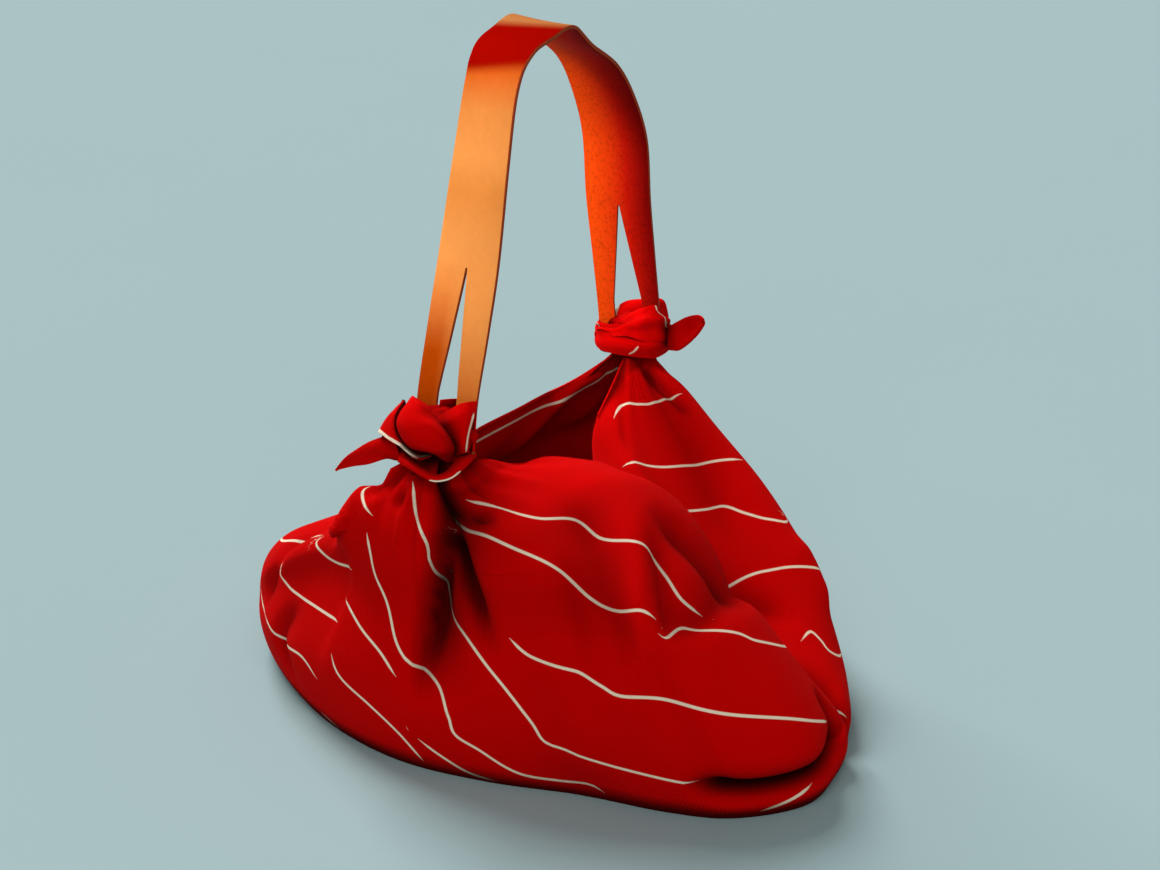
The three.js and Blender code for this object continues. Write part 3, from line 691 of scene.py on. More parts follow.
@dataclass(frozen=True)
class ShadedLeather(TanLeather):
    """The leather's inner face: orange, mottled, and deep red towards the front edge, where the red is
    painted shade.
    """

    inner_stops_with_painted_shade: Stops = (
        (0.00, (0.20, 0.001, 0.001)),
        (0.35, (0.46, 0.006, 0.001)),
        (0.90, (0.72, 0.055, 0.002)),
    )
    mottle_depth: float = 1.3
    darkest: float = 0.33
    mottle_scale: float = 480.0
    mottle_detail: float = 5.0
    mottle_relief: float = 2.0
    roughness: float = 0.7
    specular: float = 0.02

    def material(self) -> bpy.types.Material:
        """The finished material of the inner face."""
        tree = NodeTree("shaded_leather")
        place = tree.add("TexCoord").outputs["Object"]
        across = tree.math("MULTIPLY_ADD", tree.attribute("across"), 0.5, 0.5)
        # Painted shade: the inner face turns deep red towards its front edge
        colour = tree.ramp(across, self.inner_stops_with_painted_shade)
        mottle = tree.noise(place, self.mottle_scale, self.mottle_detail)
        shade = tree.math("MINIMUM", tree.math("MULTIPLY_ADD", mottle, self.mottle_depth, self.darkest), 1.0)
        colour = tree.shaded(colour, shade)
        tree.set(Base_Color=colour, Roughness=self.roughness, Specular_IOR_Level=self.specular)
        tree.bump(mottle, self.mottle_relief * self.grain_height)
        return tree.material


@dataclass(frozen=True)
class CutEdge:
    """The burnished dark edge of cut leather."""

    colour: Colour = (0.20, 0.028, 0.008)
    worn_gain: float = 2.2
    fibre_height: float = 0.00008
    fibre_scale: float = 1500.0
    fibre_detail: float = 3.0
    roughness: float = 0.6
    specular: float = 0.05

    def material(self) -> bpy.types.Material:
        """The finished material of the edges."""
        tree = NodeTree("burnished_edge")
        place = tree.add("TexCoord").outputs["Object"]
        fibre = tree.noise(place, self.fibre_scale, self.fibre_detail)
        worn = tree.mix(fibre, self.colour, tuple(self.worn_gain * c for c in self.colour))
        tree.set(Base_Color=worn, Roughness=self.roughness, Specular_IOR_Level=self.specular)
        tree.bump(fibre, self.fibre_height)
        return tree.material


@dataclass
class Photographer:
    """The camera, the floor and the lights, whose directions are given in the view's axes."""

    azimuth: float = -59.8
    elevation: float = 20.5
    distance: float = 1.5
    target: tuple[float, float, float] = (0.0441, 0.0, 0.1418)
    focal_length: float = 77.43
    sensor_width: float = 36.0
    far_limit: float = 20.0
    floor_colour: Colour = (0.292, 0.397, 0.405)
    floor_tone: float = 0.98
    floor_tone_scale: float = 3.0
    floor_roughness: float = 0.9
    floor_specular: float = 0.1
    floor_size: float = 12.0
    floor_drop: float = 0.0003
    sky_colour: Colour = (1.0, 1.0, 1.0)
    sky_strength: float = 0.22
    left_strength: float = 3.6
    left_softness: float = 30.0
    left_from: tuple[float, float, float] = (-0.34, 0.87, -0.24)
    front_strength: float = 1.25
    front_softness: float = 50.0
    front_from: tuple[float, float, float] = (-0.05, 0.35, 0.93)
    lamp_power: float = 52.0
    lamp_spread: float = 19.0
    lamp_radius: float = 0.12
    lamp_distance: float = 0.8
    lamp_aim: tuple[float, float, float] = (0.13, 0.0, 0.25)
    lamp_from: tuple[float, float, float] = (-0.62, 0.25, 0.74)

    def back(self) -> Vector:
        """The direction from the bag to the camera."""
        a, e = math.radians(self.azimuth), math.radians(self.elevation)
        return Vector((math.sin(a) * math.cos(e), -math.cos(a) * math.cos(e), math.sin(e)))

    def axes(self) -> Matrix:
        """The view's own axes as columns: to the right, up and towards the viewer."""
        back = self.back()
        right = Vector((math.cos(math.radians(self.azimuth)), math.sin(math.radians(self.azimuth)), 0.0))
        return Matrix((right, back.cross(right), back)).transposed()

    def camera(self) -> None:
        """Makes the camera at the photograph's angle."""
        data = bpy.data.cameras.new("camera")
        data.lens = self.focal_length
        data.sensor_width = self.sensor_width
        data.clip_end = self.far_limit
        camera = bpy.data.objects.new("camera", data)
        bpy.context.scene.collection.objects.link(camera)
        camera.location = Vector(self.target) + self.back() * self.distance
        camera.rotation_euler = (-self.back()).to_track_quat("-Z", "Y").to_euler()
        bpy.context.scene.camera = camera

    def from_view(self, right: float, up: float, towards: float) -> Vector:
        """A direction given in the view's own axes."""
        return (self.axes() @ Vector((right, up, towards))).normalized()

    @staticmethod
    def light(data: bpy.types.Light, power: float, place: Vector, come_from: Vector) -> bpy.types.Object:
        """Puts a light in the scene.

        Args:
            data: The light.
            power: Its strength.
            place: Where it stands.
            come_from: The direction that it shines from.

        Returns:
            The light's object.
        """
        data.energy = power
        lamp = bpy.data.objects.new(data.name, data)
        bpy.context.scene.collection.objects.link(lamp)
        lamp.location = place
        lamp.rotation_euler = come_from.to_track_quat("Z", "Y").to_euler()
        return lamp

    def sun(self, name: str, power: float, softness: float, come_from: Vector) -> None:
        """Adds a distant light that fills an angle of softness degrees."""
        data = bpy.data.lights.new(name, "SUN")
        data.angle = math.radians(softness)
        self.light(data, power, come_from, come_from)

    def floor(self) -> None:
        """Makes the plain floor."""
        select_none()
        bpy.ops.mesh.primitive_plane_add(size=self.floor_size, location=(0.0, 0.0, -self.floor_drop))
        floor = bpy.context.active_object
        floor.name = "floor"
        tree = NodeTree("paper_floor")
        place = tree.add("TexCoord").outputs["Object"]
        darker = tuple(self.floor_tone * c for c in self.floor_colour)
        colour = tree.mix(tree.noise(place, self.floor_tone_scale), darker, self.floor_colour)
        tree.set(Base_Color=colour, Roughness=self.floor_roughness, Specular_IOR_Level=self.floor_specular)
        floor.data.materials.append(tree.material)

    def glow(self, lit: list[bpy.types.Object]) -> None:
        """Adds the lamp that brightens the bag from the upper left, but not the floor.

        Args:
            lit: The objects it lights.
        """
        data = bpy.data.lights.new("upper_lamp", "SPOT")
        data.spot_size = math.radians(self.lamp_spread)
        data.spot_blend = 1.0
        data.shadow_soft_size = self.lamp_radius
        come_from = self.from_view(*self.lamp_from)
        place = Vector(self.lamp_aim) + come_from * self.lamp_distance
        lamp = self.light(data, self.lamp_power, place, come_from)
        group = bpy.data.collections.new("lit_by_upper_lamp")
        for piece in lit:
            group.objects.link(piece)
        lamp.light_linking.receiver_collection = group

    def build(self, lit: list[bpy.types.Object]) -> None:
        """Makes the whole studio.

        Args:
            lit: The objects that the upper lamp lights.
        """
        self.camera()
        self.floor()
        world = bpy.data.worlds.new("studio")
        world.use_nodes = True
        sky = world.node_tree.nodes["Background"].inputs
        sky["Color"].default_value = (*self.sky_colour, 1.0)
        sky["Strength"].default_value = self.sky_strength
        bpy.context.scene.world = world
        self.sun("left_sun", self.left_strength, self.left_softness, self.from_view(*self.left_from))
        self.sun("front_sun", self.front_strength, self.front_softness, self.from_view(*self.front_from))
        self.glow(lit)
        bpy.context.scene.view_settings.view_transform = "Standard"
        bpy.context.scene.view_settings.look = "None"


@dataclass
class ClothBody:
    """The bag's cloth from the floor to the rim."""

    sizes: BagSizes
    around: int = 308
    up: int = 140
    base_rings: int = 8
    thickness: float = 1.1 * MILLIMETRE
    foot_inset: float = 0.9
    crispness: float = 1.6
    gathers: int = 9
    # Painted shade: the fold valley depth at which the cloth is painted darkest
    fold_depth_of_full_shade: float = 14.0 * MILLIMETRE
    near_gather_depth: float = 1.8 * MILLIMETRE
    far_gather_depth: float = 0.5 * MILLIMETRE
    gather_bend: float = 1.5
    minor_gathers: float = 0.5
    gather_edge: float = 1.6
    gather_reach: float = 0.075
    gather_foot: float = 0.55
    gather_fade: float = 0.4
    wrinkle_depth: float = 1.3 * MILLIMETRE
    wrinkle_size: float = 0.055
    fold_samples: int = 31
    fold_start: float = 0.3
    fold_end: float = 0.35
    still_foot: float = 0.1
    middle_forward: float = 0.05
    neck_rings: int = 5
    neck_edge: float = 1.4
    neck_reach: float = 0.05
    neck_draw: float = 0.7
    neck_top: float = 1.11
    stripe_steps: int = 40
    points: np.ndarray = field(init=False)
    hollow: np.ndarray = field(init=False)

    def levels(self) -> np.ndarray:
        """The rings that the cloth passes through, from inside the foot to past the rim."""
        s = np.array(SECTIONS)
        size = np.array([self.sizes.half_width, self.sizes.length, self.sizes.neck_height])
        middle = np.array([0.0, -self.middle_forward * self.sizes.length, 0.0])
        foot = np.column_stack([s[:, 0:2], np.zeros(len(s))]) * size

        def swelled(out: np.ndarray, z: np.ndarray) -> np.ndarray:
            """The foot's ring drawn out from the middle and lifted."""
            ring = middle + (foot - middle) * out[:, None]
            ring[:, 2] = z * self.sizes.neck_height
            return ring

        inner = swelled(np.full(len(s), self.foot_inset), np.zeros(len(s)))
        rim, shoulder = s[:, 10:13] * size, s[:, 7:10] * size
        belly = swelled(s[:, 2], s[:, 3])
        return np.stack([inner, foot, belly, s[:, 4:7] * size, shoulder, rim, 2 * rim - shoulder])

    def skin(self, section: np.ndarray, up: np.ndarray) -> np.ndarray:
        """Points of the unfolded cloth.

        Args:
            section: Section numbers, with fractions between two sections.
            up: Shares from the foot, 0, to the rim, 1.

        Returns:
            One point for each pair.
        """
        rings = np.stack([catmull(level, section / len(SECTIONS), True) for level in self.levels()])
        spans = len(rings) - 3
        x = np.clip(up, 0.0, 1.0) * spans
        i = np.minimum(np.floor(x).astype(int), spans - 1)
        column = np.arange(len(x))
        point = blend([rings[i + k, column] for k in range(4)], (x - i)[:, None])
        point[:, 2] = np.maximum(point[:, 2], 0.0)
        return point

    def fold_height(self, fold: tuple[float, ...], points: np.ndarray, normals: np.ndarray) -> np.ndarray:
        """How far one fold moves each point along its normal.

        Args:
            fold: The fold's row of the table.
            points: The cloth's points.
            normals: Its outward normals.

        Returns:
            A height for each point, below zero in a valley.
        """
        t = np.linspace(0.0, 1.0, self.fold_samples)
        curve = np.stack([(1 - t) * (1 - 2 * t), 4 * t * (1 - t), t * (2 * t - 1)])
        ends = np.array(fold[:6]).reshape(3, 2)
        height, left_width, right_width, fades_in, fades_out = fold[6:]
        path = self.skin(curve.T @ ends[:, 0], curve.T @ ends[:, 1])
        best = np.full(len(points), np.inf)
        share = np.zeros(len(points))
        left = np.zeros(len(points))
        for i in range(len(path) - 1):
            along = path[i + 1] - path[i]
            w = np.clip((points - path[i]) @ along / (along @ along), 0.0, 1.0)
            offset = points - path[i] - w[:, None] * along
            distance = np.linalg.norm(offset, axis=1)
            nearer = distance < best
            best[nearer] = distance[nearer]
            share[nearer] = (i + w[nearer]) / (len(path) - 1)
            left[nearer] = (np.cross(along, offset[nearer]) * normals[nearer]).sum(1)
        width = np.where(left > 0, left_width, right_width) * MILLIMETRE
        start = smooth(share / self.fold_start) if fades_in else 1.0
        end = smooth((1.0 - share) / self.fold_end) if fades_out else 1.0
        return height * MILLIMETRE * start * end * np.exp(-((best / width) ** self.crispness))

    def shape(self) -> None:
        """Works out the folded cloth as a grid of points, bottom row first."""
        section, up = np.meshgrid(
            np.arange(self.around) * len(SECTIONS) / self.around, np.linspace(0.0, 1.0, self.up)
        )
        plain = self.skin(section.ravel(), up.ravel()).reshape(self.up, self.around, 3)
        normals = grid_normals(plain)
        flat, out = plain.reshape(-1, 3), normals.reshape(-1, 3)
        height = sum(self.fold_height(fold, flat, out) for fold in FOLDS).reshape(up.shape)
        # Painted shade: how deep in a fold valley each point lies, kept to darken its colour
        hollow = np.clip(-height / self.fold_depth_of_full_shade, 0.0, 1.0)
        height += self.small_folds(section, up, plain)
        free = smooth(up / self.still_foot)
        self.points = plain + normals * (height * free)[..., None]
        self.hollow = hollow * free
        self.points[..., 2] = np.maximum(self.points[..., 2], 0.0)

    def small_folds(self, section: np.ndarray, up: np.ndarray, points: np.ndarray) -> np.ndarray:
        """Heights of the pleats gathered at both necks and of soft wrinkles all over.

        Args:
            section: Section numbers of the cloth's points; not used.
            up: Their shares from the foot to the rim.
            points: The points.

        Returns:
            A height for each point.
        """
        height = np.zeros(up.shape)
        for end in End:
            knot = np.array(self.sizes.knot_centre(end))
            away = np.linalg.norm(points[..., :2] - knot[:2], axis=2)
            angle = np.arctan2(points[..., 1], points[..., 0] - knot[0])
            close = smooth(self.gather_edge * (1.0 - away / self.gather_reach))
            close *= smooth((up - self.gather_foot) / self.gather_fade)
            pleat = np.sin(self.gathers * angle + self.gather_bend * np.sin(2.0 * angle))
            pleat += self.minor_gathers * np.sin((2 * self.gathers + 3) * angle + 1.0)
            depth = self.near_gather_depth if end is End.NEAR else self.far_gather_depth
            height += depth * close * pleat
        flat = (points / self.wrinkle_size).reshape(-1, 3).tolist()
        soft = np.array([noise.noise(place) for place in flat]).reshape(up.shape)
        return height + self.wrinkle_depth * soft

    def necks(self) -> np.ndarray:
        """Rings past the rim, drawn together into the knots and left on the rim between them."""
        rim = self.points[-1]
        rings = []
        for i in range(1, self.neck_rings + 1):
            ring = rim.copy()
            for end in End:
                knot = np.array([*self.sizes.knot_centre(end)[:2], self.sizes.neck_height * self.neck_top])
                away = np.linalg.norm(rim[:, :2] - knot[:2], axis=1)
                drawn = smooth(self.neck_edge * (1.0 - away / self.neck_reach)) * i / self.neck_rings
                ring += (drawn * self.neck_draw)[:, None] * (knot - rim)
            rings.append(ring)
        return np.array(rings)

    def strokes(self) -> tuple[Stroke, ...]:
        """The stripes as routes on the folded cloth."""
        routes = []
        for number, places in STRIPES:
            dense = catmull(np.array(places), np.linspace(0.0, 1.0, self.stripe_steps * len(places)))
            column = np.mod(dense[:, 0], len(SECTIONS)) * self.around / len(SECTIONS)
            row = dense[:, 1] * (self.up - 1)
            j = np.floor(column).astype(int)
            i = np.minimum(np.floor(row).astype(int), self.up - 2)
            u, v = (column - j)[:, None], (row - i)[:, None]
            here, there = j % self.around, (j + 1) % self.around
            grid = self.points
            low = grid[i, here] * (1 - u) + grid[i, there] * u
            high = grid[i + 1, here] * (1 - u) + grid[i + 1, there] * u
            routes.append(Stroke(number, low * (1 - v) + high * v))
        return tuple(routes)

    def build(self, material: bpy.types.Material) -> bpy.types.Object:
        """Makes the body as one sheet with its thickness.

        Args:
            material: The cloth's finish.

        Returns:
            The finished piece.
        """
        self.shape()
        foot = self.points[0]
        middle = foot.mean(0)
        shares = np.linspace(1.0, 0.0, self.base_rings + 1)[1:-1]
        base = [middle + (foot - middle) * share for share in shares[::-1]]
        rings = np.concatenate([np.array(base), self.points, self.necks()])
        points = np.concatenate([rings.reshape(-1, 3), middle[None]])
        hub = len(points) - 1
        faces = grid_faces(len(rings), self.around, closed=True)
        faces += [(hub, (j + 1) % self.around, j) for j in range(self.around)]
        uv = flat_places(rings)
        uv = np.concatenate([uv, uv[:1]])
        normals = np.concatenate([grid_normals(rings).reshape(-1, 3), [[0.0, 0.0, -1.0]]])
        numbers = StripePainter(self.strokes()).paint(points, normals)
        # The painted fold shade, kept at the body's points for the cloth's colour
        numbers["hollow"] = np.zeros(len(points))
        first = len(base) * self.around
        numbers["hollow"][first : first + self.hollow.size] = self.hollow.ravel()
        piece = mesh_piece("bag_cloth", points, faces, uv, numbers)
        add_modifier(piece, "SOLIDIFY", thickness=self.thickness, offset=-1.0, use_even_offset=False)
        piece.data.materials.append(material)
        return piece


@dataclass(frozen=True)
class Panel:
    """A stretch of cloth in a knot: a thick skin through a few sections.

    The sections run along the cloth and each goes across it. Their points are shares of the knot's size
    to the right, up and towards the viewer, from the knot's middle, in the view from the near left.
    """

    sections: tuple[Section, ...]
    stripes: tuple[Places, ...] = ()
    thickness: float = 1.6 * MILLIMETRE
    pleats: float = 0.0
    pleat_depth: float = 0.0
    pleat_drift: float = 2.5
    rounding: float = 0.3
    steps_along: int = 48
    steps_across: int = 30
    stripe_steps: int = 60

    def surface(self, along: np.ndarray, across: np.ndarray) -> np.ndarray:
        """Points of the skin in shares of the knot's size.

        Args:
            along: Shares from 0 to 1 along the cloth.
            across: Shares from 0 to 1 across it.

        Returns:
            One point for each pair.
        """
        rows = np.stack([catmull(np.array(section), across) for section in self.sections])
        last = len(rows) - 1
        x = np.clip(along, 0.0, 1.0) * last
        first = np.minimum(np.floor(x).astype(int), last - 1)
        column = np.arange(len(x))
        nearby = [rows[np.clip(first + k, 0, last), column] for k in (-1, 0, 1, 2)]
        return blend(nearby, (x - first)[:, None])

    def build(self, name: str, knot: "Knot", material: bpy.types.Material) -> bpy.types.Object:
        """Makes the panel.

        Args:
            name: The piece's name.
            knot: The knot that it belongs to.
            material: The cloth's finish.

        Returns:
            The new piece.
        """
        along, across = np.meshgrid(
            np.linspace(0.0, 1.0, self.steps_along), np.linspace(0.0, 1.0, self.steps_across), indexing="ij"
        )
        shape = along.shape
        points = knot.place(self.surface(along.ravel(), across.ravel())).reshape(*shape, 3)
        normals = unit(np.cross(np.gradient(points, axis=1), np.gradient(points, axis=0)))
        out = np.sign((normals * (points - np.array(knot.centre))).sum())
        normals = normals * out
        ridge = np.sin(2 * math.pi * self.pleats * across + self.pleat_drift * along)
        ridge *= np.sin(math.pi * across)
        points = points + normals * (self.pleat_depth * knot.size * ridge)[..., None]
        faces = [face if out > 0 else face[::-1] for face in grid_faces(*shape)]
        strokes = []
        for stripe in self.stripes:
            route = catmull(np.array(stripe), np.linspace(0.0, 1.0, self.stripe_steps))
            strokes.append(Stroke(0, knot.place(self.surface(route[:, 0], route[:, 1]))))
        painter = StripePainter(tuple(strokes), TAPER_ON_KNOT, FULL_ON_KNOT, GONE_ON_KNOT)
        numbers = painter.paint(points.reshape(-1, 3), normals.reshape(-1, 3))
        piece = mesh_piece(name, points.reshape(-1, 3), faces, flat_places(points), numbers)
        add_modifier(piece, "SOLIDIFY", thickness=self.thickness, offset=-1.0, use_even_offset=False)
        round_edges(piece, self.rounding * self.thickness)
        piece.data.shade_smooth()
        piece.data.materials.append(material)
        return piece


def finish_piece(piece: bpy.types.Object, node: str) -> None:
    """Ties a finished piece to the frame and reports it.

    Args:
        piece: The finished piece.
        node: The CAD node that it stands for.
    """
    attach(piece, "root")
    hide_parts(node)
    LOG.info("%s: %d faces", piece.name, len(piece.data.polygons))


@dataclass(frozen=True)
class Knot:
    """One end of the cloth tied round the strap: a plain core and the panels that show on it."""

    end: End
    centre: tuple[float, float, float]
    size: float
    core_radii: tuple[float, float, float]
    wraps: dict[str, Panel]
    tail: Panel
    view: Matrix
    pleat_depth: float = 0.05
    pleat_turns: float = 7.0
    crease_depth: float = 0.015
    crease_turns: float = 19.0

    def place(self, shares: np.ndarray) -> np.ndarray:
        """Turns shares of the knot's size in the view's axes into points in metres."""
        axes = np.array(self.view.transposed())
        return np.array(self.centre) + shares @ axes * self.size

    def core(self, material: bpy.types.Material) -> bpy.types.Object:
        """The gathered cloth inside the knot, which also finishes its hidden back."""
        select_none()
        bpy.ops.mesh.primitive_uv_sphere_add(segments=96, ring_count=64, radius=1.0)
        piece = bpy.context.active_object
        piece.name = f"{self.end.name.lower()}_core"
        mesh = piece.data
        points = np.empty(3 * len(mesh.vertices))
        mesh.vertices.foreach_get("co", points)
        points = points.reshape(-1, 3)
        turn = np.arctan2(points[:, 1], points[:, 0])
        tilt = points[:, 2] + 0.5 * points[:, 0]
        swell = 1.0 + self.pleat_depth * np.sin(self.pleat_turns * tilt + np.sin(2.0 * turn))
        swell += self.crease_depth * np.sin(self.crease_turns * tilt + 3.0 * turn)
        points = points * swell[:, None] * np.array(self.core_radii) * self.size + np.array(self.centre)
        mesh.vertices.foreach_set("co", points.ravel())
        keep_numbers(mesh, StripePainter(()).paint(points, points))
        mesh.uv_layers[0].name = "cloth"
        mesh.shade_smooth()
        mesh.materials.append(material)
        return piece

    def build(self, material: bpy.types.Material) -> list[bpy.types.Object]:
        """Makes the knot and its loose end.

        Args:
            material: The cloth's finish.

        Returns:
            Both finished pieces.
        """
        name = self.end.name.lower()
        pieces = [self.core(material)]
        pieces += [panel.build(f"{name}_{key}", self, material) for key, panel in self.wraps.items()]
        select_none()
        for piece in pieces:
            piece.select_set(True)
        bpy.context.view_layer.objects.active = pieces[0]
        bpy.ops.object.join()
        knot = bpy.context.active_object
        knot.name = f"{name}_tied_cloth"
        bpy.ops.object.transform_apply(location=True, rotation=True, scale=True)
        tail = self.tail.build(f"{name}_loose_end", self, material)
        finish_piece(knot, f"{name}_knot")
        finish_piece(tail, f"{name}_tail")
        return [knot, tail]


# The cores' radii along X, Y and Z, in knot sizes
NEAR_CORE_RADII = (0.55, 1.05, 0.80)
FAR_CORE_RADII = (0.55, 0.75, 0.60)

NEAR_WRAPS = {
    "left_wrap": Panel(
        sections=(
            ((-1.30, 0.61, -0.50), (-1.61, 0.34, -0.60), (-1.71, 0.03, -0.50)),
            ((-1.16, 0.87, 0.00), (-1.51, 0.51, 0.00), (-1.76, 0.09, 0.00)),
            ((-1.02, 0.95, 0.15), (-1.30, 0.51, 0.50), (-1.44, -0.14, 0.50)),
            ((-0.98, 0.78, -0.20), (-1.14, 0.17, 0.45), (-1.03, -0.34, 0.85)),
            ((-0.62, 0.10, 0.05), (-0.76, -0.27, 0.60), (-0.58, -0.61, 0.95)),
            ((-0.31, -0.27, 0.40), (-0.31, -0.41, 0.50), (-0.24, -0.53, 0.62)),
        ),
        stripes=(((0.1, 0.93), (0.3, 0.93), (0.5, 0.93), (0.7, 0.93), (0.85, 0.9), (0.98, 0.85)),),
    ),
    "central_bundle": Panel(
        sections=(
            ((-0.88, 0.97, 0.15), (-0.86, 1.03, 0.25), (-0.82, 1.06, 0.32),
             (-0.76, 1.05, 0.35), (-0.64, 0.98, 0.30)),
            ((-0.99, 0.80, 0.30), (-0.93, 0.86, 0.75), (-0.80, 0.92, 0.92),
             (-0.55, 0.88, 0.95), (-0.34, 0.78, 0.62)),
            ((-1.14, 0.56, 0.45), (-1.10, 0.58, 0.98), (-0.85, 0.60, 1.22),
             (-0.45, 0.52, 1.25), (-0.17, 0.51, 0.75)),
            ((-1.20, 0.25, 0.50), (-1.16, 0.26, 1.05), (-0.80, 0.20, 1.38),
             (-0.25, 0.30, 1.42), (0.07, 0.20, 0.85)),
            ((-1.03, -0.14, 0.55), (-0.99, -0.14, 1.05), (-0.60, -0.14, 1.38),
             (-0.03, 0.02, 1.42), (0.30, -0.10, 0.85)),
            ((-0.75, -0.41, 0.55), (-0.70, -0.41, 0.98), (-0.38, -0.36, 1.25),
             (0.10, -0.20, 1.32), (0.39, -0.38, 0.75)),
            ((-0.34, -0.48, 0.35), (-0.28, -0.49, 0.78), (-0.10, -0.52, 1.00),
             (0.14, -0.48, 1.10), (0.30, -0.61, 0.60)),
            ((-0.04, -0.61, 0.25), (0.00, -0.64, 0.45), (0.06, -0.68, 0.50),
             (0.14, -0.72, 0.55), (0.20, -0.72, 0.40)),
        ),
        pleats=2.0,
        pleat_depth=0.012,
    ),
    "flap_back": Panel(
        sections=(
            ((-0.07, 0.96, 0.20), (-0.10, 0.40, 0.20), (0.10, -0.10, 0.30)),
            ((0.20, 0.99, 0.10), (0.20, 0.40, 0.05), (0.30, -0.20, 0.20)),
            ((0.44, 0.99, 0.05), (0.50, 0.40, 0.00), (0.50, -0.30, 0.10)),
            ((0.72, 0.94, 0.15), (0.75, 0.40, 0.10), (0.65, -0.40, 0.15)),
            ((0.96, 0.90, 0.60), (0.95, 0.40, 0.55), (0.90, -0.45, 0.45)),
        ),
    ),
    "flap": Panel(
        sections=(
            ((-0.14, 0.49, 0.55), (0.20, 0.68, 0.70), (0.46, 0.82, 0.80),
             (0.71, 0.89, 0.82), (0.99, 0.92, 0.68)),
            ((-0.07, 0.27, 0.70), (0.24, 0.38, 0.90), (0.51, 0.51, 0.97),
             (0.74, 0.55, 0.95), (0.92, 0.55, 0.78)),
            ((0.13, 0.03, 0.75), (0.37, 0.10, 0.90), (0.58, 0.14, 0.97),
             (0.71, 0.14, 0.93), (0.82, 0.14, 0.75)),
            ((0.34, -0.27, 0.70), (0.47, -0.26, 0.85), (0.58, -0.24, 0.92),
             (0.68, -0.24, 0.85), (0.76, -0.24, 0.70)),
            ((0.37, -0.55, 0.55), (0.47, -0.55, 0.65), (0.58, -0.51, 0.72),
             (0.68, -0.49, 0.65), (0.75, -0.48, 0.50)),
        ),
        stripes=(((0.22, 0.93), (0.4, 0.9), (0.6, 0.84), (0.8, 0.8), (0.97, 0.72)),),
    ),
    "lower_band": Panel(
        sections=(
            ((-1.03, -0.41, 0.60), (-1.16, -0.58, 0.65), (-1.20, -0.72, 0.60)),
            ((-0.75, -0.68, 0.85), (-0.86, -0.75, 1.05), (-0.89, -0.89, 1.00)),
            ((-0.48, -0.89, 1.00), (-0.52, -0.99, 1.22), (-0.48, -1.13, 1.20)),
            ((-0.14, -1.06, 1.05), (-0.14, -1.14, 1.30), (-0.14, -1.26, 1.28)),
            ((0.17, -0.96, 1.00), (0.24, -1.06, 1.22), (0.27, -1.19, 1.20)),
            ((0.37, -0.72, 0.85), (0.51, -0.82, 1.00), (0.58, -0.96, 0.95)),
            ((0.51, -0.51, 0.60), (0.71, -0.58, 0.65), (0.82, -0.72, 0.55)),
            ((0.65, -0.27, 0.10), (0.85, -0.38, 0.05), (0.94, -0.55, -0.10)),
        ),
        stripes=(((0.36, 0.94), (0.45, 0.965), (0.58, 0.96), (0.7, 0.9)),),
    ),
    "back_wrap": Panel(
        sections=(
            ((-1.40, 0.55, -0.20), (-1.65, -0.05, -0.25), (-1.35, -0.60, -0.10)),
            ((-1.05, 0.75, -0.80), (-1.20, 0.00, -1.05), (-1.05, -0.70, -0.75)),
            ((-0.30, 0.85, -1.00), (-0.35, 0.00, -1.30), (-0.30, -0.80, -1.00)),
            ((0.40, 0.80, -0.80), (0.60, 0.00, -1.10), (0.45, -0.80, -0.80)),
            ((0.72, 0.70, -0.30), (0.84, 0.00, -0.50), (0.80, -0.60, -0.40)),
            ((0.66, 0.60, 0.20), (0.72, 0.10, 0.20), (0.70, -0.45, 0.10)),
        ),
        pleats=2.5,
        pleat_depth=0.04,
    ),
}

NEAR_TAIL = Panel(
    sections=(
        ((-1.20, 0.10, -0.10), (-1.28, -0.20, 0.05), (-1.16, -0.60, 0.00)),
        ((-1.74, -0.07, -0.20), (-1.68, -0.38, -0.10), (-1.27, -0.70, -0.10)),
        ((-2.09, -0.20, -0.50), (-1.98, -0.48, -0.40), (-1.57, -0.66, -0.35)),
        ((-2.43, -0.39, -0.85), (-2.32, -0.61, -0.75), (-2.09, -0.81, -0.75)),
        ((-2.77, -0.61, -1.25), (-2.70, -0.75, -1.20), (-2.53, -0.87, -1.20)),
        ((-3.01, -0.85, -1.60), (-3.01, -0.92, -1.58), (-2.94, -0.96, -1.60)),
        ((-3.07, -0.95, -1.70), (-3.09, -0.98, -1.70), (-3.05, -1.01, -1.70)),
    ),
    thickness=0.9 * MILLIMETRE,
    pleats=1.0,
    pleat_depth=0.03,
)

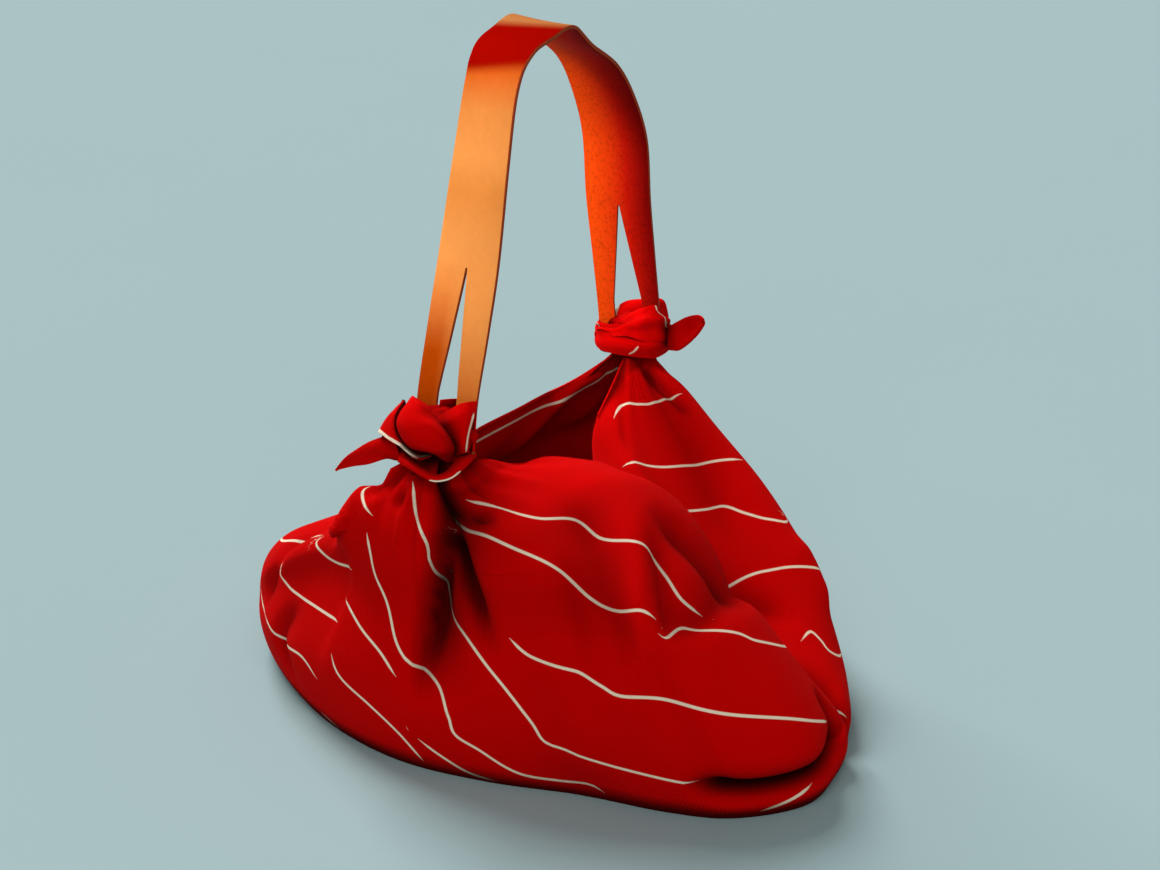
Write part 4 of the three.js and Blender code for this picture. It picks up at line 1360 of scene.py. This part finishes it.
FAR_WRAPS = {
    "back_lobe": Panel(
        sections=(
            ((-0.43, 0.41, 0.10), (-0.46, 0.63, 0.00), (-0.41, 0.41, -0.40)),
            ((-0.24, 0.38, 0.15), (-0.30, 0.84, -0.05), (-0.24, 0.50, -0.60)),
            ((0.06, 0.41, 0.15), (-0.03, 0.97, -0.10), (0.06, 0.56, -0.80)),
            ((0.43, 0.50, 0.15), (0.37, 1.01, -0.10), (0.43, 0.60, -0.80)),
            ((0.80, 0.56, 0.15), (0.80, 1.04, -0.05), (0.80, 0.60, -0.70)),
            ((1.05, 0.50, 0.10), (1.07, 0.93, -0.05), (1.05, 0.44, -0.50)),
            ((1.20, 0.13, 0.00), (1.19, 0.50, -0.10), (1.17, 0.13, -0.40)),
        ),
        stripes=(((0.02, 0.15), (0.03, 0.3), (0.10, 0.42), (0.16, 0.5)),),
    ),
    "lower_wrap": Panel(
        sections=(
            ((-1.01, 0.32, -0.30), (-1.09, -0.05, -0.35), (-1.04, -0.42, -0.30)),
            ((-0.92, 0.20, 0.20), (-0.94, -0.17, 0.30), (-0.89, -0.57, 0.10)),
            ((-0.55, 0.07, 0.60), (-0.55, -0.30, 0.78), (-0.52, -0.69, 0.35)),
            ((-0.12, -0.05, 0.80), (-0.12, -0.39, 0.97), (-0.09, -0.77, 0.50)),
            ((0.31, -0.17, 0.85), (0.31, -0.42, 0.97), (0.37, -0.82, 0.50)),
            ((0.74, -0.17, 0.72), (0.77, -0.42, 0.82), (0.80, -0.82, 0.35)),
            ((1.17, -0.11, 0.30), (1.20, -0.36, 0.30), (1.17, -0.60, 0.00)),
            ((1.29, -0.02, -0.30), (1.32, -0.17, -0.35), (1.23, -0.42, -0.40)),
        ),
        stripes=(((0.44, 0.90), (0.5, 0.74), (0.55, 0.56)),),
        pleats=1.5,
        pleat_depth=0.03,
    ),
    "upper_wrap": Panel(
        sections=(
            ((-1.03, 0.30, -0.05), (-1.00, 0.10, 0.10), (-0.90, -0.05, 0.20)),
            ((-0.95, 0.30, 0.20), (-0.92, 0.12, 0.40), (-0.83, -0.05, 0.40)),
            ((-0.55, 0.22, 0.30), (-0.58, 0.02, 0.62), (-0.52, -0.17, 0.80)),
            ((-0.21, 0.40, 0.35), (-0.18, 0.14, 0.74), (-0.15, -0.17, 0.98)),
            ((0.13, 0.60, 0.72), (0.19, 0.20, 1.12), (0.25, -0.30, 0.98)),
            ((0.46, 0.72, 0.85), (0.56, 0.29, 1.05), (0.62, -0.40, 0.86)),
            ((0.76, 0.78, 0.82), (0.92, 0.32, 0.88), (1.08, -0.33, 0.55)),
            ((1.04, 0.63, 0.30), (1.20, 0.26, 0.40), (1.28, -0.13, 0.15)),
        ),
        stripes=(
            ((0.845, 0.0), (0.87, 0.22), (0.903, 0.47), (0.945, 0.72), (0.985, 0.93)),
            ((0.06, 0.0), (0.08, 0.25), (0.11, 0.5)),
        ),
        pleats=2.0,
        pleat_depth=0.06,
    ),
    "back_wrap": Panel(
        sections=(
            ((-0.95, 0.35, -0.10), (-1.05, -0.10, -0.20), (-0.95, -0.50, -0.10)),
            ((-0.80, 0.60, -0.60), (-0.95, 0.00, -0.85), (-0.80, -0.60, -0.60)),
            ((-0.10, 0.75, -0.80), (-0.10, 0.05, -1.10), (-0.10, -0.70, -0.80)),
            ((0.60, 0.70, -0.70), (0.70, 0.00, -1.00), (0.60, -0.70, -0.70)),
            ((1.10, 0.50, -0.30), (1.30, 0.00, -0.40), (1.10, -0.50, -0.30)),
            ((1.10, 0.40, 0.20), (1.20, 0.00, 0.20), (1.10, -0.45, 0.15)),
        ),
        pleats=2.5,
        pleat_depth=0.04,
    ),
}

FAR_TAIL = Panel(
    sections=(
        ((1.17, 0.07, 0.45), (1.20, -0.26, 0.50), (1.20, -0.57, 0.45)),
        ((1.45, 0.26, 0.75), (1.48, -0.17, 0.72), (1.45, -0.62, 0.75)),
        ((1.72, 0.41, 0.95), (1.78, 0.01, 0.90), (1.72, -0.46, 0.95)),
        ((2.00, 0.46, 1.15), (2.03, 0.13, 1.12), (1.97, -0.23, 1.15)),
        ((2.13, 0.42, 1.24), (2.14, 0.17, 1.22), (2.08, -0.10, 1.24)),
        ((2.21, 0.34, 1.30), (2.22, 0.18, 1.30), (2.17, 0.03, 1.30)),
        ((2.24, 0.25, 1.33), (2.25, 0.20, 1.33), (2.23, 0.13, 1.33)),
    ),
    thickness=2.2 * MILLIMETRE,
)

# Stations of the strap: x | rise above the necks | turn about Z in degrees | width (shares but for the turn)
STRAP_STATIONS: Rows = (
    (-0.74, 0.06, 1, 0.0),
    (-0.71, 0.18, 2, 0.0),
    (-0.63, 0.33, 6, 0.4),
    (-0.54, 0.50, 11, 0.8),
    (-0.44, 0.73, 18, 1.0),
    (-0.36, 0.89, 21, 1.0),
    (-0.27, 0.96, 20, 1.0),
    (-0.13, 0.99, 16, 1.0),
    (0.03, 1.00, 15, 1.0),
    (0.19, 0.94, 14, 1.0),
    (0.375, 0.87, 11, 1.0),
    (0.50, 0.78, 7, 1.0),
    (0.605, 0.65, 2, 0.9),
    (0.64, 0.48, -3, 0.6),
    (0.69, 0.32, -9, 0.2),
    (0.74, 0.16, -13, 0.0),
    (0.76, 0.06, -14, 0.0),
)


@dataclass
class Handle:
    """The leather strap, with a slot at each end that parts it into two tongues."""

    sizes: BagSizes
    top: float
    width: float
    foot_share: float = 0.867
    thickness: float = 2.2 * MILLIMETRE
    near_slot_length: float = 94.0 * MILLIMETRE
    far_slot_length: float = 87.0 * MILLIMETRE
    slot_bridge: float = 7.0 * MILLIMETRE
    near_slot_width: float = 13.0 * MILLIMETRE
    far_slot_width: float = 18.0 * MILLIMETRE
    tip_width: float = 0.8 * MILLIMETRE
    straight_share: float = 0.25
    edge_rounding: float = 0.35 * MILLIMETRE
    smooth_angle: float = 50.0
    fine_steps: int = 1200
    steps: int = 240
    tongue_columns: int = 10

    @classmethod
    def from_frame(cls, sizes: BagSizes) -> "Handle":
        """The handle at the size of its CAD node."""
        low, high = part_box("leather_handle")
        return cls(sizes, high.z, high.y - low.y)

    def centre_line(self) -> tuple[np.ndarray, np.ndarray]:
        """Evenly spaced points along the strap, and the turn, width and length so far at each."""
        fine = catmull(np.array(STRAP_STATIONS), np.linspace(0.0, 1.0, self.fine_steps))
        neck = self.sizes.neck_height
        rise = self.top - neck - 0.5 * self.thickness
        x, z = fine[:, 0] * self.sizes.half_width, neck + fine[:, 1] * rise
        length = np.concatenate([[0.0], np.cumsum(np.hypot(np.diff(x), np.diff(z)))])
        even = np.linspace(0.0, length[-1], self.steps)
        x, z, turn, width = (np.interp(even, length, column) for column in (x, z, fine[:, 2], fine[:, 3]))
        return np.column_stack([x, np.zeros(self.steps), z]), np.column_stack([turn, width, even])

    def slot_half(self, from_end: np.ndarray, length: float, width: float) -> np.ndarray:
        """Half the slot's width at distances from the strap's end."""
        share = (from_end - self.slot_bridge) / length
        closing = np.clip((share - self.straight_share) / (1.0 - self.straight_share), 0.0, 1.0)
        return 0.5 * (width + (self.tip_width - width) * closing)

    def offsets(self, widths: np.ndarray, even: np.ndarray) -> tuple[np.ndarray, np.ndarray]:
        """How far each point of a row lies from the strap's centre line.

        Args:
            widths: Shares of the way from the feet's width to the full one, for each row.
            even: The length so far at each row.

        Returns:
            Half the strap's width at each row, and the offsets of its points.
        """
        foot_width = self.foot_share * self.width
        half = 0.5 * (foot_width + (self.width - foot_width) * widths)
        slot = np.where(
            even < even[-1] / 2,
            self.slot_half(even, self.near_slot_length, self.near_slot_width),
            self.slot_half(even[-1] - even, self.far_slot_length, self.far_slot_width),
        )
        tongue = (half - slot)[:, None] * np.linspace(0.0, 1.0, self.tongue_columns)
        return half, np.concatenate([tongue - half[:, None], tongue + slot[:, None]], 1)

    def cut_slots(self, mesh: bpy.types.Mesh, even: np.ndarray) -> None:
        """Takes the faces of both slots out of the active strap.

        Args:
            mesh: The strap's mesh, its points one row after another.
            even: The length so far at each row.
        """
        near_open = (even > self.slot_bridge) & (even < self.slot_bridge + self.near_slot_length)
        from_far = even[-1] - even
        far_open = (from_far > self.slot_bridge) & (from_far < self.slot_bridge + self.far_slot_length)
        open_row = near_open | far_open
        bpy.ops.object.mode_set(mode="EDIT")
        bpy.ops.mesh.select_all(action="DESELECT")
        bpy.ops.object.mode_set(mode="OBJECT")
        for face in mesh.polygons:
            spots = [divmod(vertex, 2 * self.tongue_columns) for vertex in face.vertices]
            middle = {column for row, column in spots} == {self.tongue_columns - 1, self.tongue_columns}
            face.select = middle and all(open_row[row] for row, column in spots)
        bpy.ops.object.mode_set(mode="EDIT")
        bpy.ops.mesh.delete(type="FACE")
        bpy.ops.object.mode_set(mode="OBJECT")

    def build(
        self, outer: bpy.types.Material, inner: bpy.types.Material, edge: bpy.types.Material
    ) -> bpy.types.Object:
        """Makes the strap.

        Args:
            outer: The finish of the face that shows outside.
            inner: The finish of the face under the arch.
            edge: The finish of the cut edges.

        Returns:
            The finished piece.
        """
        line, more = self.centre_line()
        turn, widths, even = np.radians(more[:, 0]), more[:, 1], more[:, 2]
        along = unit(np.gradient(line, axis=0))
        across = np.column_stack([np.sin(turn), np.cos(turn), np.zeros(len(turn))])
        across = unit(across - (across * along).sum(1)[:, None] * along)
        half, offsets = self.offsets(widths, even)
        points = line[:, None] + across[:, None] * offsets[..., None]
        columns = 2 * self.tongue_columns
        select_none()
        bpy.ops.mesh.primitive_grid_add(x_subdivisions=columns - 1, y_subdivisions=self.steps - 1, size=1.0)
        piece = bpy.context.active_object
        piece.name = "strap_handle"
        mesh = piece.data
        mesh.vertices.foreach_set("co", points.reshape(-1, 3).astype(np.float32).ravel())
        keep_numbers(mesh, {"along": np.repeat(even / even[-1], columns), "across": offsets / half[:, None]})
        self.cut_slots(mesh, even)
        for material in (outer, inner, edge):
            mesh.materials.append(material)
        if mesh.polygons[len(mesh.polygons) // 2].normal.z <= 0.0:
            mesh.flip_normals()
        add_modifier(
            piece,
            "SOLIDIFY",
            thickness=self.thickness,
            offset=0.0,
            use_even_offset=False,
            material_offset=1,
            material_offset_rim=2,
        )
        round_edges(piece, self.edge_rounding)
        select_only(piece)
        bpy.ops.object.shade_smooth_by_angle(angle=math.radians(self.smooth_angle))
        return piece


def knots(sizes: BagSizes, view: Matrix) -> tuple[Knot, Knot]:
    """The two knots at the sizes of their CAD nodes.

    Args:
        sizes: The bag's shared sizes.
        view: The axes that the panels' points are given in.

    Returns:
        The near and the far knot.
    """
    size = sizes.knot_size()
    near = Knot(
        End.NEAR, sizes.knot_centre(End.NEAR), size, NEAR_CORE_RADII, NEAR_WRAPS, NEAR_TAIL, view
    )
    far = Knot(End.FAR, sizes.knot_centre(End.FAR), size, FAR_CORE_RADII, FAR_WRAPS, FAR_TAIL, view)
    return near, far


def main() -> None:
    """Builds the bag and its studio."""
    logging.basicConfig(level=logging.INFO, format="%(name)s: %(message)s")
    studio = Photographer()
    cotton = StripedCotton().material()
    outer = TanLeather().material()
    inner = ShadedLeather().material()
    edge = CutEdge().material()

    sizes = BagSizes.from_frame()
    body = ClothBody(sizes).build(cotton)
    finish_piece(body, "cloth_body")
    handle = Handle.from_frame(sizes).build(outer, inner, edge)
    finish_piece(handle, "leather_handle")
    tied = [piece for knot in knots(sizes, studio.axes()) for piece in knot.build(cotton)]
    near_knot, near_tail, far_knot, _ = tied
    studio.build([body, handle, near_knot, near_tail, far_knot])


if __name__ == "__main__":
    main()
